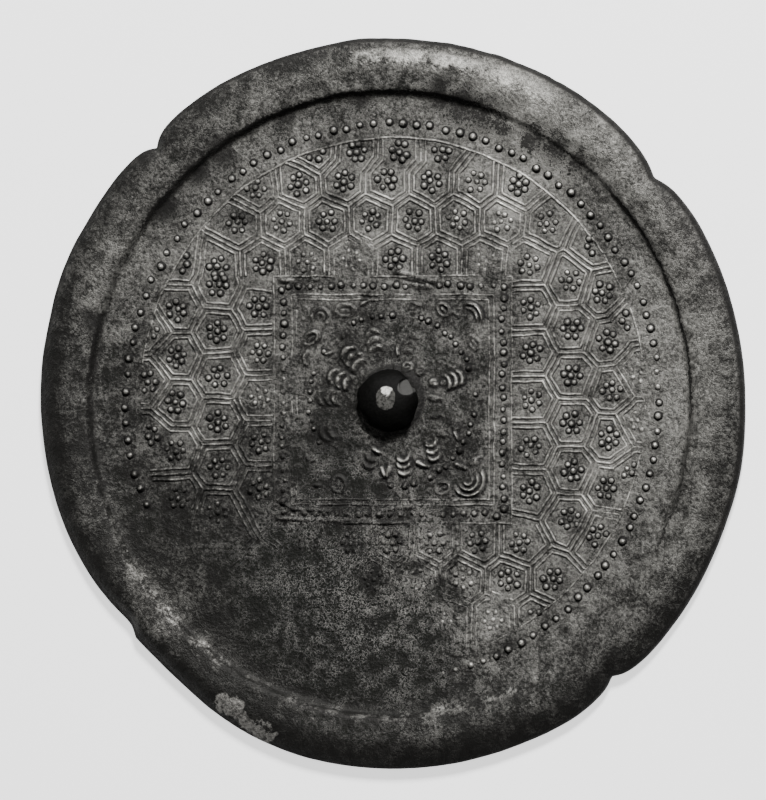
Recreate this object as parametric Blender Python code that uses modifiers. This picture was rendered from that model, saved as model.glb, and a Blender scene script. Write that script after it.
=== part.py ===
"""Ancient cast bronze mirror, lying on its polished face with the decorated back up.

Metres, +Z up. The origin is on the flat polished face, under the middle of the disc.
The mirror is one casting: disc, raised rim, low relief and a pierced cord knob.
"""

import math
import random

import bmesh
import bpy
from mathutils import Matrix, Vector

MM = 0.001

# Disc and rim
MIRROR_RADIUS = 95.0 * MM
FIELD_THICKNESS = 2.6 * MM
RIM_THICKNESS = 5.6 * MM
RIM_WIDTH = 13.4 * MM
EDGE_THICKNESS = 3.2 * MM
EDGE_ROUNDING = 0.7 * MM
CREST_INSET = 9.2 * MM
INNER_LIP_DROP = 0.3 * MM
INNER_STEP_RUN = 0.9 * MM
COVE_WIDTH = 3.4 * MM
COVE_HEIGHT = 0.6 * MM
OUTLINE_STEPS = 56
CLOSEST_STEP = 0.35
SHOULDER_INSET = 3.2 * MM

# How much of a notch's depth still shows at the shoulder, the crest and the inner edge of the rim
SHOULDER_NOTCH = 0.75
CREST_NOTCH = 0.3
INNER_NOTCH = 0.15

# Four notches part the outline into lobes: direction, depth, then how wide each side runs.
# Beside the third the edge is worn away in a broad dip.
NOTCHES = (
    (39.8, 3.1 * MM, 6.1 * MM, 7.9 * MM),
    (133.5, 2.9 * MM, 3.0 * MM, 3.1 * MM),
    (218.8, 4.0 * MM, 20.0 * MM, 6.0 * MM),
    (309.9, 2.7 * MM, 4.4 * MM, 3.6 * MM),
)
WORN_EDGE_DIRECTION = 226.0
WORN_EDGE_DEPTH = 3.0 * MM
WORN_EDGE_WIDTH = 27.0 * MM
NOTCH_STEPS = (-1.6, -0.7, -0.25, 0.0, 0.25, 0.7, 1.6)

# Pearl ring, and the thin line inside it that bounds the tortoise-shell ground
RING_MARGIN = 9.6 * MM
PEARL_DIAMETER = 2.5 * MM
PEARL_GAP = 1.37 * MM
PEARL_HEIGHT = 0.9 * MM
PEARL_SIDES = 4
LOST_PEARLS = (203.0, 279.0)
BORDER_GAP = 2.35 * MM
BORDER_ARC = (36.0, 128.0)
BORDER_ARC_STEPS = 14
ORNAMENT_SHIFT = Vector((0.4 * MM, 1.0 * MM, 0.0))

# Square panel: a pearled band between raised lines
FRAME_SIDE = 59.4 * MM
FRAME_LINE_GAP = 2.15 * MM
FRAME_PEARL_DIAMETER = 1.9 * MM
FRAME_PEARL_GAP = 1.0 * MM
FRAME_PEARL_HEIGHT = 0.65 * MM
FRAME_PEARL_SIDES = 4

# Tortoise-shell ground: rows of florets outside each side of the panel, one hexagonal cell round each.
# A row is the direction of its side, its distance out from the panel, where it starts and ends along the side
# (clockwise is positive), and how much its ends bend in (per metre)
FLORET_PITCH = 12.0 * MM
FLORET_ROWS = (
    (90, 3.8 * MM, -47.0 * MM, 37.0 * MM, 0.8),
    (90, 14.2 * MM, -41.6 * MM, 41.7 * MM, 0.6),
    (90, 24.4 * MM, -37.0 * MM, 34.4 * MM, 1.3),
    (90, 32.0 * MM, -21.2 * MM, 13.3 * MM, 0.0),
    (0, 4.7 * MM, -23.9 * MM, 23.7 * MM, 0.5),
    (0, 15.7 * MM, -30.9 * MM, 30.6 * MM, 0.6),
    (0, 26.1 * MM, -40.2 * MM, 35.4 * MM, 2.8),
    (0, 34.0 * MM, -20.7 * MM, 18.9 * MM, 6.0),
    (270, 4.4 * MM, -34.6 * MM, 22.9 * MM, 0.0),
    (270, 13.8 * MM, -43.4 * MM, 29.2 * MM, 0.0),
    (270, 24.6 * MM, -38.4 * MM, 7.2 * MM, 0.0),
    (180, 3.0 * MM, -22.9 * MM, 24.3 * MM, 0.0),
    (180, 14.4 * MM, -29.1 * MM, 29.9 * MM, 0.0),
    (180, 25.6 * MM, -25.4 * MM, 36.1 * MM, 0.7),
    (180, 33.0 * MM, -9.1 * MM, 18.3 * MM, 0.0),
)
CELL_INSET = 1.35 * MM
CELL_REACH = 20.0 * MM
SHORTEST_EDGE = 1.6 * MM
BORDER_CLIP_TURNS = (-12, -9, -6, -3, 0, 3, 6, 9, 12)
LINE_HEIGHT = 0.38 * MM
DOT_DIAMETER = 1.7 * MM
DOT_GAP = 0.65 * MM
DOT_HEIGHT = 0.55 * MM
DOT_SIDES = 3
DOTS_ROUND = 6

# Wreath in the panel: a pearl circle, ribbed blossoms inside it, buds and scrolls in the corners
WREATH_MARGIN = 4.2 * MM
WREATH_PEARL_DIAMETER = 1.6 * MM
WREATH_PEARL_GAP = 0.85 * MM
WREATH_PEARL_HEIGHT = 0.5 * MM
WREATH_PEARL_SIDES = 3
BLOSSOM_GAP = 1.6 * MM
BLOSSOM_DIRECTIONS = (-97, -76, -50, -28, -9, 19, 45, 76, 104, 131, 156, 178)
BLOSSOM_LENGTH = 5.6 * MM
BLOSSOM_WIDTH = 4.4 * MM
BLOSSOM_HEIGHT = 0.7 * MM
BUD_LENGTH = 4.2 * MM
BUD_WIDTH = 2.8 * MM
BUD_HEIGHT = 0.6 * MM
BUD_SPREAD = 13.8 * MM
CORNER_INSET = 6.2 * MM
SCROLL_WIDTH = 6.0 * MM
SCROLL_LENGTH = 4.2 * MM
BOSS_SEGMENTS = 6
BOSS_RINGS = 4

# Knob with its cord hole
KNOB_DIAMETER = 16.8 * MM
KNOB_HEIGHT = 6.6 * MM
KNOB_SHIFT = Vector((-0.75 * MM, -0.1 * MM, 0.0))
KNOB_SEGMENTS = 24
KNOB_RINGS = 6
CORD_HOLE_WIDTH = 4.4 * MM
CORD_HOLE_HEIGHT = 3.8 * MM
CORD_HOLE_DIRECTION = 30.0
CORD_ROOF_STEPS = 6

# How far a stud and the knob are rooted in the ground, and the least gap between two raised shapes
STUD_ROOT = 0.12 * MM
KNOB_ROOT = 0.5 * MM
LEAST_GAP = 0.2 * MM

# How far below ground level the middle of a line or a boss lies, so that its widest part is buried
SINK = 0.06 * MM

# Places where wear and corrosion have taken the relief: middle and reach, from the ornament's middle
WORN_PATCHES = (
    (-24.0 * MM, -52.0 * MM, 36.0 * MM),
    (6.0 * MM, -58.0 * MM, 28.0 * MM),
    (28.0 * MM, -50.0 * MM, 17.0 * MM),
    (-54.0 * MM, -40.0 * MM, 22.0 * MM),
    (-14.0 * MM, -11.0 * MM, 9.0 * MM),
)
WEAR_FALL = 1.6
STUD_WEAR_LIMIT = 0.42
LINE_WEAR_LIMIT = 0.05

HAND_LAID = 0.25 * MM
SEED = 7

rim_inner_radius = MIRROR_RADIUS - RIM_WIDTH
ring_radius = rim_inner_radius - RING_MARGIN
border_radius = ring_radius - PEARL_DIAMETER / 2 - BORDER_GAP
frame_line_offset = FRAME_PEARL_DIAMETER / 2 + FRAME_LINE_GAP
frame_outer_half = FRAME_SIDE / 2 + frame_line_offset
frame_inner_half = FRAME_SIDE / 2 - frame_line_offset
wreath_radius = frame_inner_half - WREATH_MARGIN
blossom_radius = wreath_radius - WREATH_PEARL_DIAMETER / 2 - BLOSSOM_GAP - BLOSSOM_LENGTH / 2
floret_radius = DOT_DIAMETER + DOT_GAP
floret_reach = floret_radius + DOT_DIAMETER / 2
line_reach = LINE_HEIGHT + LEAST_GAP
ornament_middle = ORNAMENT_SHIFT + Vector((0.0, 0.0, FIELD_THICKNESS))


def clear_scene():
    for old in list(bpy.data.objects):
        bpy.data.objects.remove(old)


def new_collection(name):
    collection = bpy.data.collections.new(name)
    bpy.context.scene.collection.children.link(collection)
    return collection


def new_object(name, data, collection):
    made = bpy.data.objects.new(name, data)
    collection.objects.link(made)
    return made


def mesh_from(bm, name):
    bmesh.ops.recalc_face_normals(bm, faces=bm.faces)
    mesh = bpy.data.meshes.new(name)
    bm.to_mesh(mesh)
    bm.free()
    return mesh


def bronze_material():
    material = bpy.data.materials.new("patinated bronze")
    material.use_nodes = True
    shader = material.node_tree.nodes["Principled BSDF"]
    shader.inputs["Base Color"].default_value = (0.105, 0.105, 0.098, 1.0)
    shader.inputs["Roughness"].default_value = 0.55
    shader.inputs["Metallic"].default_value = 0.6
    return material


def around(angle, radius):
    """The point of the ground plane at that angle in degrees and that distance from the middle."""
    turn = math.radians(angle)
    return Vector((radius * math.cos(turn), radius * math.sin(turn), 0.0))


def worn(point):
    """How much of the relief is lost at a point, from 0 for none to 1 for all of it."""
    depths = [1.0 - math.hypot(point.x - x, point.y - y) / reach for x, y, reach in WORN_PATCHES]
    return min(1.0, max(0.0, WEAR_FALL * max(depths)))


def kept(point, limit=STUD_WEAR_LIMIT):
    return worn(point) < limit


def turned_by(angle, direction):
    """The turn from a direction to an angle, between -180 and 180 degrees."""
    return (angle - direction + 180.0) % 360.0 - 180.0


def notch_depth(angle):
    """How far the outline lies inside the full circle at that angle in degrees."""
    off_worn_edge = math.radians(turned_by(angle, WORN_EDGE_DIRECTION)) * MIRROR_RADIUS
    depth = WORN_EDGE_DEPTH * math.exp(-((off_worn_edge / WORN_EDGE_WIDTH) ** 2))
    for direction, deepest, before, after in NOTCHES:
        along = math.radians(turned_by(angle, direction)) * MIRROR_RADIUS
        side = after if along > 0 else before
        depth = max(depth, deepest * math.exp(-abs(along) / side))
    return depth


def outline_angles():
    """Close steps through each notch, and even ones round the rest of the disc."""
    angles = []
    for direction, _, before, after in NOTCHES:
        for share in NOTCH_STEPS:
            width = after if share > 0 else before
            angles.append(direction + math.degrees(share * width / MIRROR_RADIUS))
    even = 360.0 / OUTLINE_STEPS
    for step in range(OUTLINE_STEPS):
        if all(abs(turned_by(step * even, angle)) > CLOSEST_STEP * even for angle in angles):
            angles.append(step * even)
    return sorted(angles)


def disc_sections():
    """Loops of the disc from the polished face up over the rim to the field: radius, height and how much of
    a notch's depth each takes."""
    lip_height = RIM_THICKNESS - INNER_LIP_DROP
    shoulder = (EDGE_THICKNESS + RIM_THICKNESS) / 2
    return (
        (MIRROR_RADIUS - EDGE_ROUNDING, 0.0, 1.0),
        (MIRROR_RADIUS, EDGE_ROUNDING, 1.0),
        (MIRROR_RADIUS, EDGE_THICKNESS, 1.0),
        (MIRROR_RADIUS - SHOULDER_INSET, shoulder, SHOULDER_NOTCH),
        (MIRROR_RADIUS - CREST_INSET, RIM_THICKNESS, CREST_NOTCH),
        (rim_inner_radius, lip_height, INNER_NOTCH),
        (rim_inner_radius - INNER_STEP_RUN, FIELD_THICKNESS + COVE_HEIGHT, INNER_NOTCH),
        (rim_inner_radius - COVE_WIDTH, FIELD_THICKNESS, 0.0),
    )


def disc_mesh():
    """Lofts the lobed edge and the rim, and closes them with the polished face and the field."""
    bm = bmesh.new()
    angles = outline_angles()
    loops = []
    for radius, height, share in disc_sections():
        loop = []
        for angle in angles:
            spot = around(angle, radius - share * notch_depth(angle))
            loop.append(bm.verts.new(spot + Vector((0.0, 0.0, height))))
        loops.append(loop)
    for lower, upper in zip(loops, loops[1:]):
        for i in range(len(angles)):
            j = (i + 1) % len(angles)
            bm.faces.new((lower[i], lower[j], upper[j], upper[i]))
    bm.faces.new(reversed(loops[0]))
    bm.faces.new(loops[-1])
    return mesh_from(bm, "disc")


def add_cone(bm, spot, diameter, height, sides, turn=0.0):
    """A pointed stud whose foot has that diameter at ground level, rooted in the ground."""
    taper = 1.0 + STUD_ROOT / height
    place = Matrix.Translation(spot + Vector((0.0, 0.0, (height - STUD_ROOT) / 2)))
    bmesh.ops.create_cone(
        bm,
        segments=sides,
        radius1=diameter / 2 * taper,
        radius2=0.0,
        depth=height + STUD_ROOT,
        cap_ends=True,
        matrix=place @ Matrix.Rotation(turn, 4, "Z"),
    )


def add_boss(bm, spot, length, width, height, turn=0.0):
    """A smooth oval boss: a sphere pressed flat, its middle just under ground level."""
    shape = Matrix.Diagonal((length / 2, width / 2, height, 1.0))
    place = Matrix.Translation(spot - Vector((0.0, 0.0, SINK))) @ Matrix.Rotation(turn, 4, "Z") @ shape
    bmesh.ops.create_uvsphere(bm, u_segments=BOSS_SEGMENTS, v_segments=BOSS_RINGS, radius=1.0, matrix=place)


def add_pearl_ring(bm):
    count = round(2 * math.pi * ring_radius / (PEARL_DIAMETER + PEARL_GAP))
    for i in range(count):
        angle = 360.0 * i / count
        if not LOST_PEARLS[0] < angle < LOST_PEARLS[1]:
            spot = ornament_middle + around(angle, ring_radius)
            add_cone(bm, spot, PEARL_DIAMETER, PEARL_HEIGHT, PEARL_SIDES, math.radians(angle))


def add_frame_pearls(bm):
    count = round(FRAME_SIDE / (FRAME_PEARL_DIAMETER + FRAME_PEARL_GAP))
    half = FRAME_SIDE / 2
    for side in range(4):
        turn = Matrix.Rotation(side * math.pi / 2, 4, "Z")
        for i in range(count):
            spot = turn @ Vector((-half + FRAME_SIDE * i / count, half, 0.0))
            add_cone(bm, ornament_middle + spot, FRAME_PEARL_DIAMETER, FRAME_PEARL_HEIGHT, FRAME_PEARL_SIDES)


def add_wreath(bm):
    count = round(2 * math.pi * wreath_radius / (WREATH_PEARL_DIAMETER + WREATH_PEARL_GAP))
    for i in range(count):
        spot = around(360.0 * i / count, wreath_radius)
        if kept(spot):
            spot += ornament_middle
            add_cone(bm, spot, WREATH_PEARL_DIAMETER, WREATH_PEARL_HEIGHT, WREATH_PEARL_SIDES)
    for angle in BLOSSOM_DIRECTIONS:
        spot = around(angle, blossom_radius)
        if kept(spot):
            spot += ornament_middle
            add_boss(bm, spot, BLOSSOM_LENGTH, BLOSSOM_WIDTH, BLOSSOM_HEIGHT, math.radians(angle))


def add_panel_corners(bm):
    """A scroll in each corner of the panel, with a bud on either side of it."""
    corner = frame_inner_half - CORNER_INSET
    beside = frame_inner_half - CORNER_INSET / 2
    for side in range(4):
        turn = side * math.pi / 2
        turned = Matrix.Rotation(turn, 4, "Z")
        spot = turned @ Vector((corner, corner, 0.0))
        add_boss(bm, ornament_middle + spot, SCROLL_LENGTH, SCROLL_WIDTH, BUD_HEIGHT, turn + math.pi / 4)
        for x, y, lean in ((beside, BUD_SPREAD, math.pi / 2), (BUD_SPREAD, beside, 0.0)):
            spot = turned @ Vector((x, y, 0.0))
            add_boss(bm, ornament_middle + spot, BUD_LENGTH, BUD_WIDTH, BUD_HEIGHT, turn + lean)


def floret_middles():
    """Middles of the tortoise-shell cells, row by row, with the unevenness of hand-laid work."""
    draw = random.Random(SEED)
    middles = []
    for side, gap, first, last, bend in FLORET_ROWS:
        turned = Matrix.Rotation(math.radians(side - 90), 4, "Z")
        steps = round((last - first) / FLORET_PITCH)
        for step in range(steps + 1):
            along = first + (last - first) * step / steps
            spot = Vector((along, frame_outer_half + gap - bend * along * along, 0.0))
            spot += Vector((draw.uniform(-HAND_LAID, HAND_LAID), draw.uniform(-HAND_LAID, HAND_LAID), 0.0))
            middles.append(turned @ spot)
    return middles


def clip(polygon, normal, limit, label):
    """Cuts a convex polygon back to the side of a line where the distance along normal is below limit.
    Each entry is a corner and the label of the edge that starts there."""
    kept_part = []
    for i, (here, edge) in enumerate(polygon):
        there = polygon[(i + 1) % len(polygon)][0]
        from_here, from_there = here.dot(normal) - limit, there.dot(normal) - limit
        if from_here <= 0:
            kept_part.append((here, edge))
        if (from_here <= 0) != (from_there <= 0):
            crossing = here.lerp(there, from_here / (from_here - from_there))
            kept_part.append((crossing, label if from_here <= 0 else edge))
    return kept_part


def cell_outline(middle, others):
    """The cell round one floret: half way to each neighbour less the inset, within the border and outside
    the panel. An edge is labelled line where a neighbour leaves room for one, and open elsewhere."""
    size = CELL_REACH
    corners = ((-size, -size), (size, -size), (size, size), (-size, size))
    polygon = [(middle + Vector((x, y, 0.0)), "open") for x, y in corners]
    for other in others:
        gap = other - middle
        if 0 < gap.length < 2 * CELL_REACH:
            normal = gap.normalized()
            room = gap.length / 2 - CELL_INSET > floret_reach + line_reach
            limit = gap.length / 2 - (CELL_INSET if room else line_reach)
            polygon = clip(polygon, normal, middle.dot(normal) + limit, "line" if room else "open")
    heading = math.degrees(math.atan2(middle.y, middle.x))
    for turn in BORDER_CLIP_TURNS:
        polygon = clip(polygon, around(heading + turn, 1.0), border_radius - LINE_HEIGHT - line_reach, "open")
    outward = Vector((1.0, 0.0, 0.0)) if abs(middle.x) > abs(middle.y) else Vector((0.0, 1.0, 0.0))
    outward *= math.copysign(1.0, middle.dot(outward))
    return clip(polygon, -outward, -(frame_outer_half + LINE_HEIGHT + line_reach), "open")


def spaced(run, closed):
    """A run without the corners that follow the one before too closely for a line to turn there."""
    spread = [run[0]]
    for corner in run[1:]:
        if (corner - spread[-1]).length > SHORTEST_EDGE:
            spread.append(corner)
    if closed and (spread[-1] - spread[0]).length < SHORTEST_EDGE:
        spread.pop()
    return spread, closed


def line_runs(polygon):
    """Splits a cell's outline into the runs of corners along its line edges."""
    count = len(polygon)
    starts = [i for i in range(count) if polygon[i][1] == "line" and polygon[i - 1][1] != "line"]
    if not starts:
        return [spaced([corner for corner, _ in polygon], True)]
    runs = []
    for start in starts:
        run = [polygon[start][0]]
        i = start
        while polygon[i % count][1] == "line":
            i += 1
            run.append(polygon[i % count][0])
        runs.append(spaced(run, False))
    return [(run, closed) for run, closed in runs if len(run) > 1]


def add_floret(bm, middle, placed, draw):
    """A dot with a ring of dots round it. One that would touch a dot already placed is left out."""
    first = draw.uniform(0.0, 60.0)
    spots = [middle]
    spots += [middle + around(first + 360.0 * i / DOTS_ROUND, floret_radius) for i in range(DOTS_ROUND)]
    for spot in spots:
        outside_panel = max(abs(spot.x), abs(spot.y)) > frame_outer_half + DOT_DIAMETER
        inside_border = spot.length < border_radius - DOT_DIAMETER
        free = all((spot - other).length > DOT_DIAMETER + LEAST_GAP for other in placed)
        if kept(spot) and outside_panel and inside_border and free:
            placed.append(spot)
            add_cone(bm, ornament_middle + spot, DOT_DIAMETER, DOT_HEIGHT, DOT_SIDES, draw.uniform(0.0, 2.0))


def line_curve(name, runs, collection):
    """Raised lines: one curve with a four-sided bevel, its lower half in the ground."""
    curve = bpy.data.curves.new(name, "CURVE")
    curve.dimensions = "3D"
    curve.bevel_depth = LINE_HEIGHT
    curve.bevel_resolution = 0
    curve.use_fill_caps = True
    for run, closed in runs:
        spline = curve.splines.new("POLY")
        spline.points.add(len(run) - 1)
        for point, spot in zip(spline.points, run):
            point.co = (*(ornament_middle + spot - Vector((0.0, 0.0, SINK))), 1.0)
        spline.use_cyclic_u = closed
    return new_object(name, curve, collection)


def curve_into(bm, made):
    """Adds a curve's surface to bm as a mesh with its caps welded, and removes the curve."""
    depsgraph = bpy.context.evaluated_depsgraph_get()
    mesh = bpy.data.meshes.new_from_object(made.evaluated_get(depsgraph))
    bpy.data.objects.remove(made)
    piece = bmesh.new()
    piece.from_mesh(mesh)
    bmesh.ops.remove_doubles(piece, verts=piece.verts, dist=0.001 * MM)
    piece.to_mesh(mesh)
    piece.free()
    bm.from_mesh(mesh)
    bpy.data.meshes.remove(mesh)


def square_run(half):
    return ([Vector((x * half, y * half, 0.0)) for x, y in ((-1, -1), (1, -1), (1, 1), (-1, 1))], True)


def border_run():
    first, last = BORDER_ARC
    steps = BORDER_ARC_STEPS
    return ([around(first + (last - first) * i / steps, border_radius) for i in range(steps + 1)], False)


def relief_mesh(collection):
    """Every raised stud, boss and line, still separate and rooted in the ground."""
    bm = bmesh.new()
    add_pearl_ring(bm)
    add_frame_pearls(bm)
    add_wreath(bm)
    add_panel_corners(bm)
    draw = random.Random(SEED)
    middles = floret_middles()
    runs = [square_run(frame_outer_half), square_run(frame_inner_half), border_run()]
    placed = []
    for middle in middles:
        add_floret(bm, middle, placed, draw)
        if kept(middle, LINE_WEAR_LIMIT):
            outline = cell_outline(middle, middles)
            if len(outline) > 3:
                runs += line_runs(outline)
    curve_into(bm, line_curve("raised lines", runs, collection))
    return mesh_from(bm, "relief")


def knob_profile(collection):
    """A domed knob turned from its half outline, outer side top to bottom, and rooted in the ground."""
    bm = bmesh.new()
    outline = [Vector((0.0, 0.0, KNOB_HEIGHT))]
    for ring in range(1, KNOB_RINGS + 1):
        lean = ring / KNOB_RINGS * math.pi / 2
        outline.append(Vector((KNOB_DIAMETER / 2 * math.sin(lean), 0.0, KNOB_HEIGHT * math.cos(lean))))
    outline.append(Vector((KNOB_DIAMETER / 2, 0.0, -KNOB_ROOT)))
    outline.append(Vector((0.0, 0.0, -KNOB_ROOT)))
    verts = [bm.verts.new(point) for point in outline]
    for upper, lower in zip(verts, verts[1:]):
        bm.edges.new((upper, lower))
    mesh = bpy.data.meshes.new("knob")
    bm.to_mesh(mesh)
    bm.free()
    knob = new_object("knob", mesh, collection)
    screw = knob.modifiers.new("turned", "SCREW")
    screw.steps = KNOB_SEGMENTS
    screw.render_steps = KNOB_SEGMENTS
    screw.use_merge_vertices = True
    screw.merge_threshold = 0.00001
    knob.location = ornament_middle + KNOB_SHIFT
    return knob


def cord_hole(collection):
    """An arched core: a half-round roof on straight sides, running right through the knob on the ground."""
    bm = bmesh.new()
    radius = CORD_HOLE_WIDTH / 2
    spring = CORD_HOLE_HEIGHT - radius
    section = [Vector((0.0, -radius, -2 * KNOB_ROOT)), Vector((0.0, radius, -2 * KNOB_ROOT))]
    for i in range(CORD_ROOF_STEPS + 1):
        turn = math.pi * i / CORD_ROOF_STEPS
        section.append(Vector((0.0, radius * math.cos(turn), spring + radius * math.sin(turn))))
    face = bm.faces.new([bm.verts.new(point - Vector((KNOB_DIAMETER, 0.0, 0.0))) for point in section])
    pushed = bmesh.ops.extrude_face_region(bm, geom=[face])
    ends = [item for item in pushed["geom"] if isinstance(item, bmesh.types.BMVert)]
    bmesh.ops.translate(bm, verts=ends, vec=Vector((2 * KNOB_DIAMETER, 0.0, 0.0)))
    core = new_object("cord hole core", mesh_from(bm, "cord hole core"), collection)
    core.location = ornament_middle + KNOB_SHIFT
    core.rotation_euler = (0.0, 0.0, math.radians(CORD_HOLE_DIRECTION))
    return core


def join_with(target, tool, operation):
    boolean = target.modifiers.new(f"{operation.lower()} {tool.name}", "BOOLEAN")
    boolean.operation = operation
    boolean.solver = "EXACT"
    boolean.object = tool
    tool.hide_render = True
    tool.display_type = "WIRE"


def build():
    clear_scene()
    part = new_collection("bronze mirror")
    tools = new_collection("shapes joined or cut")
    knob = knob_profile(tools)
    join_with(knob, cord_hole(tools), "DIFFERENCE")
    relief = new_object("relief", relief_mesh(tools), tools)
    mirror = new_object("mirror", disc_mesh(), part)
    mirror.data.materials.append(bronze_material())
    join_with(mirror, relief, "UNION")
    join_with(mirror, knob, "UNION")


build()
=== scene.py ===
import math
import random

import bmesh
import bpy
import numpy as np
from mathutils import Matrix, Vector
from mathutils.geometry import delaunay_2d_cdt


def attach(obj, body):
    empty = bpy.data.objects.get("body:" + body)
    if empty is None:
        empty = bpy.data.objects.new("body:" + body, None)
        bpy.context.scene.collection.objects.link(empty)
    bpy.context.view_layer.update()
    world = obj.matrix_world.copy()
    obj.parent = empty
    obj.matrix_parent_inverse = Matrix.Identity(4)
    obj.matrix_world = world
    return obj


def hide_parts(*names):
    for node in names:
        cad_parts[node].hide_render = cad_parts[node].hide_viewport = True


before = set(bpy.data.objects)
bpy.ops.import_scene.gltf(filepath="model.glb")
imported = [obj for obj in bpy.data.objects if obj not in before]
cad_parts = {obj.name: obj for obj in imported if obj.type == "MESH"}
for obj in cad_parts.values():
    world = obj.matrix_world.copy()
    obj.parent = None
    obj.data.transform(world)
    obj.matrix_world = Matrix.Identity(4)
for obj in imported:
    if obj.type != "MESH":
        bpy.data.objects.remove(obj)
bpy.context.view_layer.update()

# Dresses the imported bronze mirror: a worn casting with its relief, its dirt and its dark patina,
# lying back up on a pale floor. Lengths below are in millimetres and turn into metres when a mesh is made.

MM = 0.001

# Disc, notched edge and rim, as in the solids
MIRROR_RADIUS = 95.0
FIELD_THICKNESS = 2.6
# Notches: direction, depth, width before and after, roundness of the corner
NOTCHES = (
    (39.8, 3.1, 6.1, 7.9, 0.4),
    (133.5, 2.9, 3.0, 3.1, 0.2),
    (219.0, 4.05, 20.0, 6.0, 2.6),
    (309.9, 2.7, 4.4, 3.6, 0.3),
)
WORN_EDGE = (226.0, 3.0, 27.0)
# Gentle swellings of the outline: direction, height, half width
EDGE_SWELLS = (
    (95, 0.45, 7),
    (120, 0.35, 14),
    (158, 0.6, 12),
    (174, 0.3, 14),
    (300, 0.3, 8),
    (350, 0.35, 10),
)
EDGE_RAGGEDNESS = 0.1
# Chips along the top edge: direction, half width, depth
CHIPPED_EDGE = (74.0, 20.0, 0.16)

# Section through the rim from the field out to the edge and under to the polished face:
# distance from the middle, height, how much of a notch's depth shows there
RIM_SECTION = (
    (78.0, 2.60, 0.0),
    (79.5, 2.66, 0.01),
    (80.3, 2.84, 0.01),
    (80.7, 3.18, 0.02),
    (81.0, 3.62, 0.02),
    (81.25, 4.02, 0.03),
    (81.5, 4.38, 0.03),
    (81.8, 4.74, 0.04),
    (82.2, 4.95, 0.05),
    (82.8, 5.08, 0.06),
    (83.6, 5.2, 0.07),
    (84.6, 5.32, 0.09),
    (85.7, 5.42, 0.13),
    (86.7, 5.5, 0.19),
    (87.7, 5.53, 0.27),
    (88.7, 5.48, 0.37),
    (89.7, 5.34, 0.48),
    (90.6, 5.14, 0.6),
    (91.4, 4.92, 0.71),
    (92.1, 4.67, 0.8),
    (92.7, 4.41, 0.87),
    (93.3, 4.11, 0.93),
    (93.8, 3.84, 0.97),
    (94.3, 3.50, 1.0),
    (94.65, 3.16, 1.0),
    (94.9, 2.75, 1.0),
    (95.0, 2.25, 1.0),
    (95.0, 1.50, 1.0),
    (94.95, 0.85, 1.0),
    (94.75, 0.35, 1.0),
    (94.3, 0.0, 1.0),
    (92.0, 0.0, 0.9),
    (80.0, 0.0, 0.3),
    (45.0, 0.0, 0.0),
)
# Where the rim meets the field in a soft slope instead of a step: direction, half width, softness
SOFT_COVES = ((312.0, 34.0, 0.85), (212.0, 26.0, 0.15), (56.0, 14.0, 0.55))
SOFT_COVE = (70.0, 88.5)
SOFT_COVE_HEIGHT = 5.2
RIM_STEPS = 720
# The inner lip, which wanders in and out
LIP_RADIUS = 81.4
LIP_HALF = 1.3
LIP_WANDER = 0.35
# The dirty flank outside: its first loop past the field's edge, depth of its dirt
FLANK_FIRST = 19
FLANK_DIRT = 0.24

# Ornament: pearl ring, border line, square panel
ORNAMENT_X = 0.4
ORNAMENT_Y = 1.0
RING_RADIUS = 72.0
RING_ARCS = ((-79.0, 124.0, 3.8), (127.2, 202.0, 4.15))
PEARL_RADIUS = 0.86
PEARL_HEIGHT = 0.92
BORDER_RADIUS = 68.3
# Runs of the border line: first and last direction, how much more worn than its place
BORDER_ARCS = ((-72.0, 34.0, 0.4), (34.0, 134.0, -0.1), (134.0, 172.0, 0.2))
PANEL_SHIFT = (0.2, 0.1)
FRAME_HALF = 29.7
FRAME_PEARL_SPACING = 2.93
FRAME_PEARL_RADIUS = 0.8
FRAME_PEARL_HEIGHT = 0.7
FRAME_OUTER_HALF = 32.1
FRAME_INNER_HALVES = (26.0, 27.3)
WREATH_RADIUS = 22.4
WREATH_SPACING = 2.37
WREATH_PEARL_RADIUS = 0.72
WREATH_PEARL_HEIGHT = 0.72
WREATH_ARCS = ((-90, -74), (-63, -10), (3, 4), (21, 70), (90, 118), (146, 150), (162, 200), (210, 211))

# Tortoise-shell ground: rows of florets, as in the solids
PANEL_EDGE = 32.8
FLORET_PITCH = 12.0
FLORET_ROWS = (
    (90, 3.8, -47.0, 37.0, 0.0008),
    (90, 14.2, -41.6, 41.7, 0.0006),
    (90, 24.4, -37.0, 34.4, 0.0013),
    (90, 32.0, -21.2, 13.3, 0.0),
    (0, 4.7, -23.9, 23.7, 0.0005),
    (0, 15.7, -30.9, 30.6, 0.0006),
    (0, 26.1, -40.2, 35.4, 0.0028),
    (0, 34.0, -20.7, 18.9, 0.006),
    (270, 4.4, -34.6, 22.9, 0.0),
    (270, 13.8, -43.4, 29.2, 0.0),
    (270, 24.6, -38.4, 7.2, 0.0),
    (180, 3.0, -22.9, 24.3, 0.0),
    (180, 14.4, -29.1, 29.9, 0.0),
    (180, 25.6, -25.4, 36.1, 0.0007),
    (180, 33.0, -9.1, 18.3, 0.0),
)
HAND_LAID = 0.25
LAYING_SEED = 7
# How far a hand-drawn line strays, and over what length
HAND_SHAKE = 0.28
HAND_PITCH = 4.0
CELL_INSET = 1.3
CELL_REACH = 20.0
LINE_STEP = 0.9
LINE_WIDTH = 0.86
LINE_HEIGHT = 0.4
# Spots per metre of the unevenness that sinks a line in places
LINE_GRAIN = 170.0
FLORET_RADIUS = 2.25
DOTS_ROUND = 6
DOT_RADIUS = 0.81
DOT_HEIGHT = 0.7

# Knob and its cord hole
KNOB_X = -0.36
KNOB_Y = 0.87
KNOB_RADIUS = 8.45
KNOB_HEIGHT = 6.6
CORD_DIRECTION = 34.0
CORD_RADIUS = 1.3
CORD_LEVEL = 1.0
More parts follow.
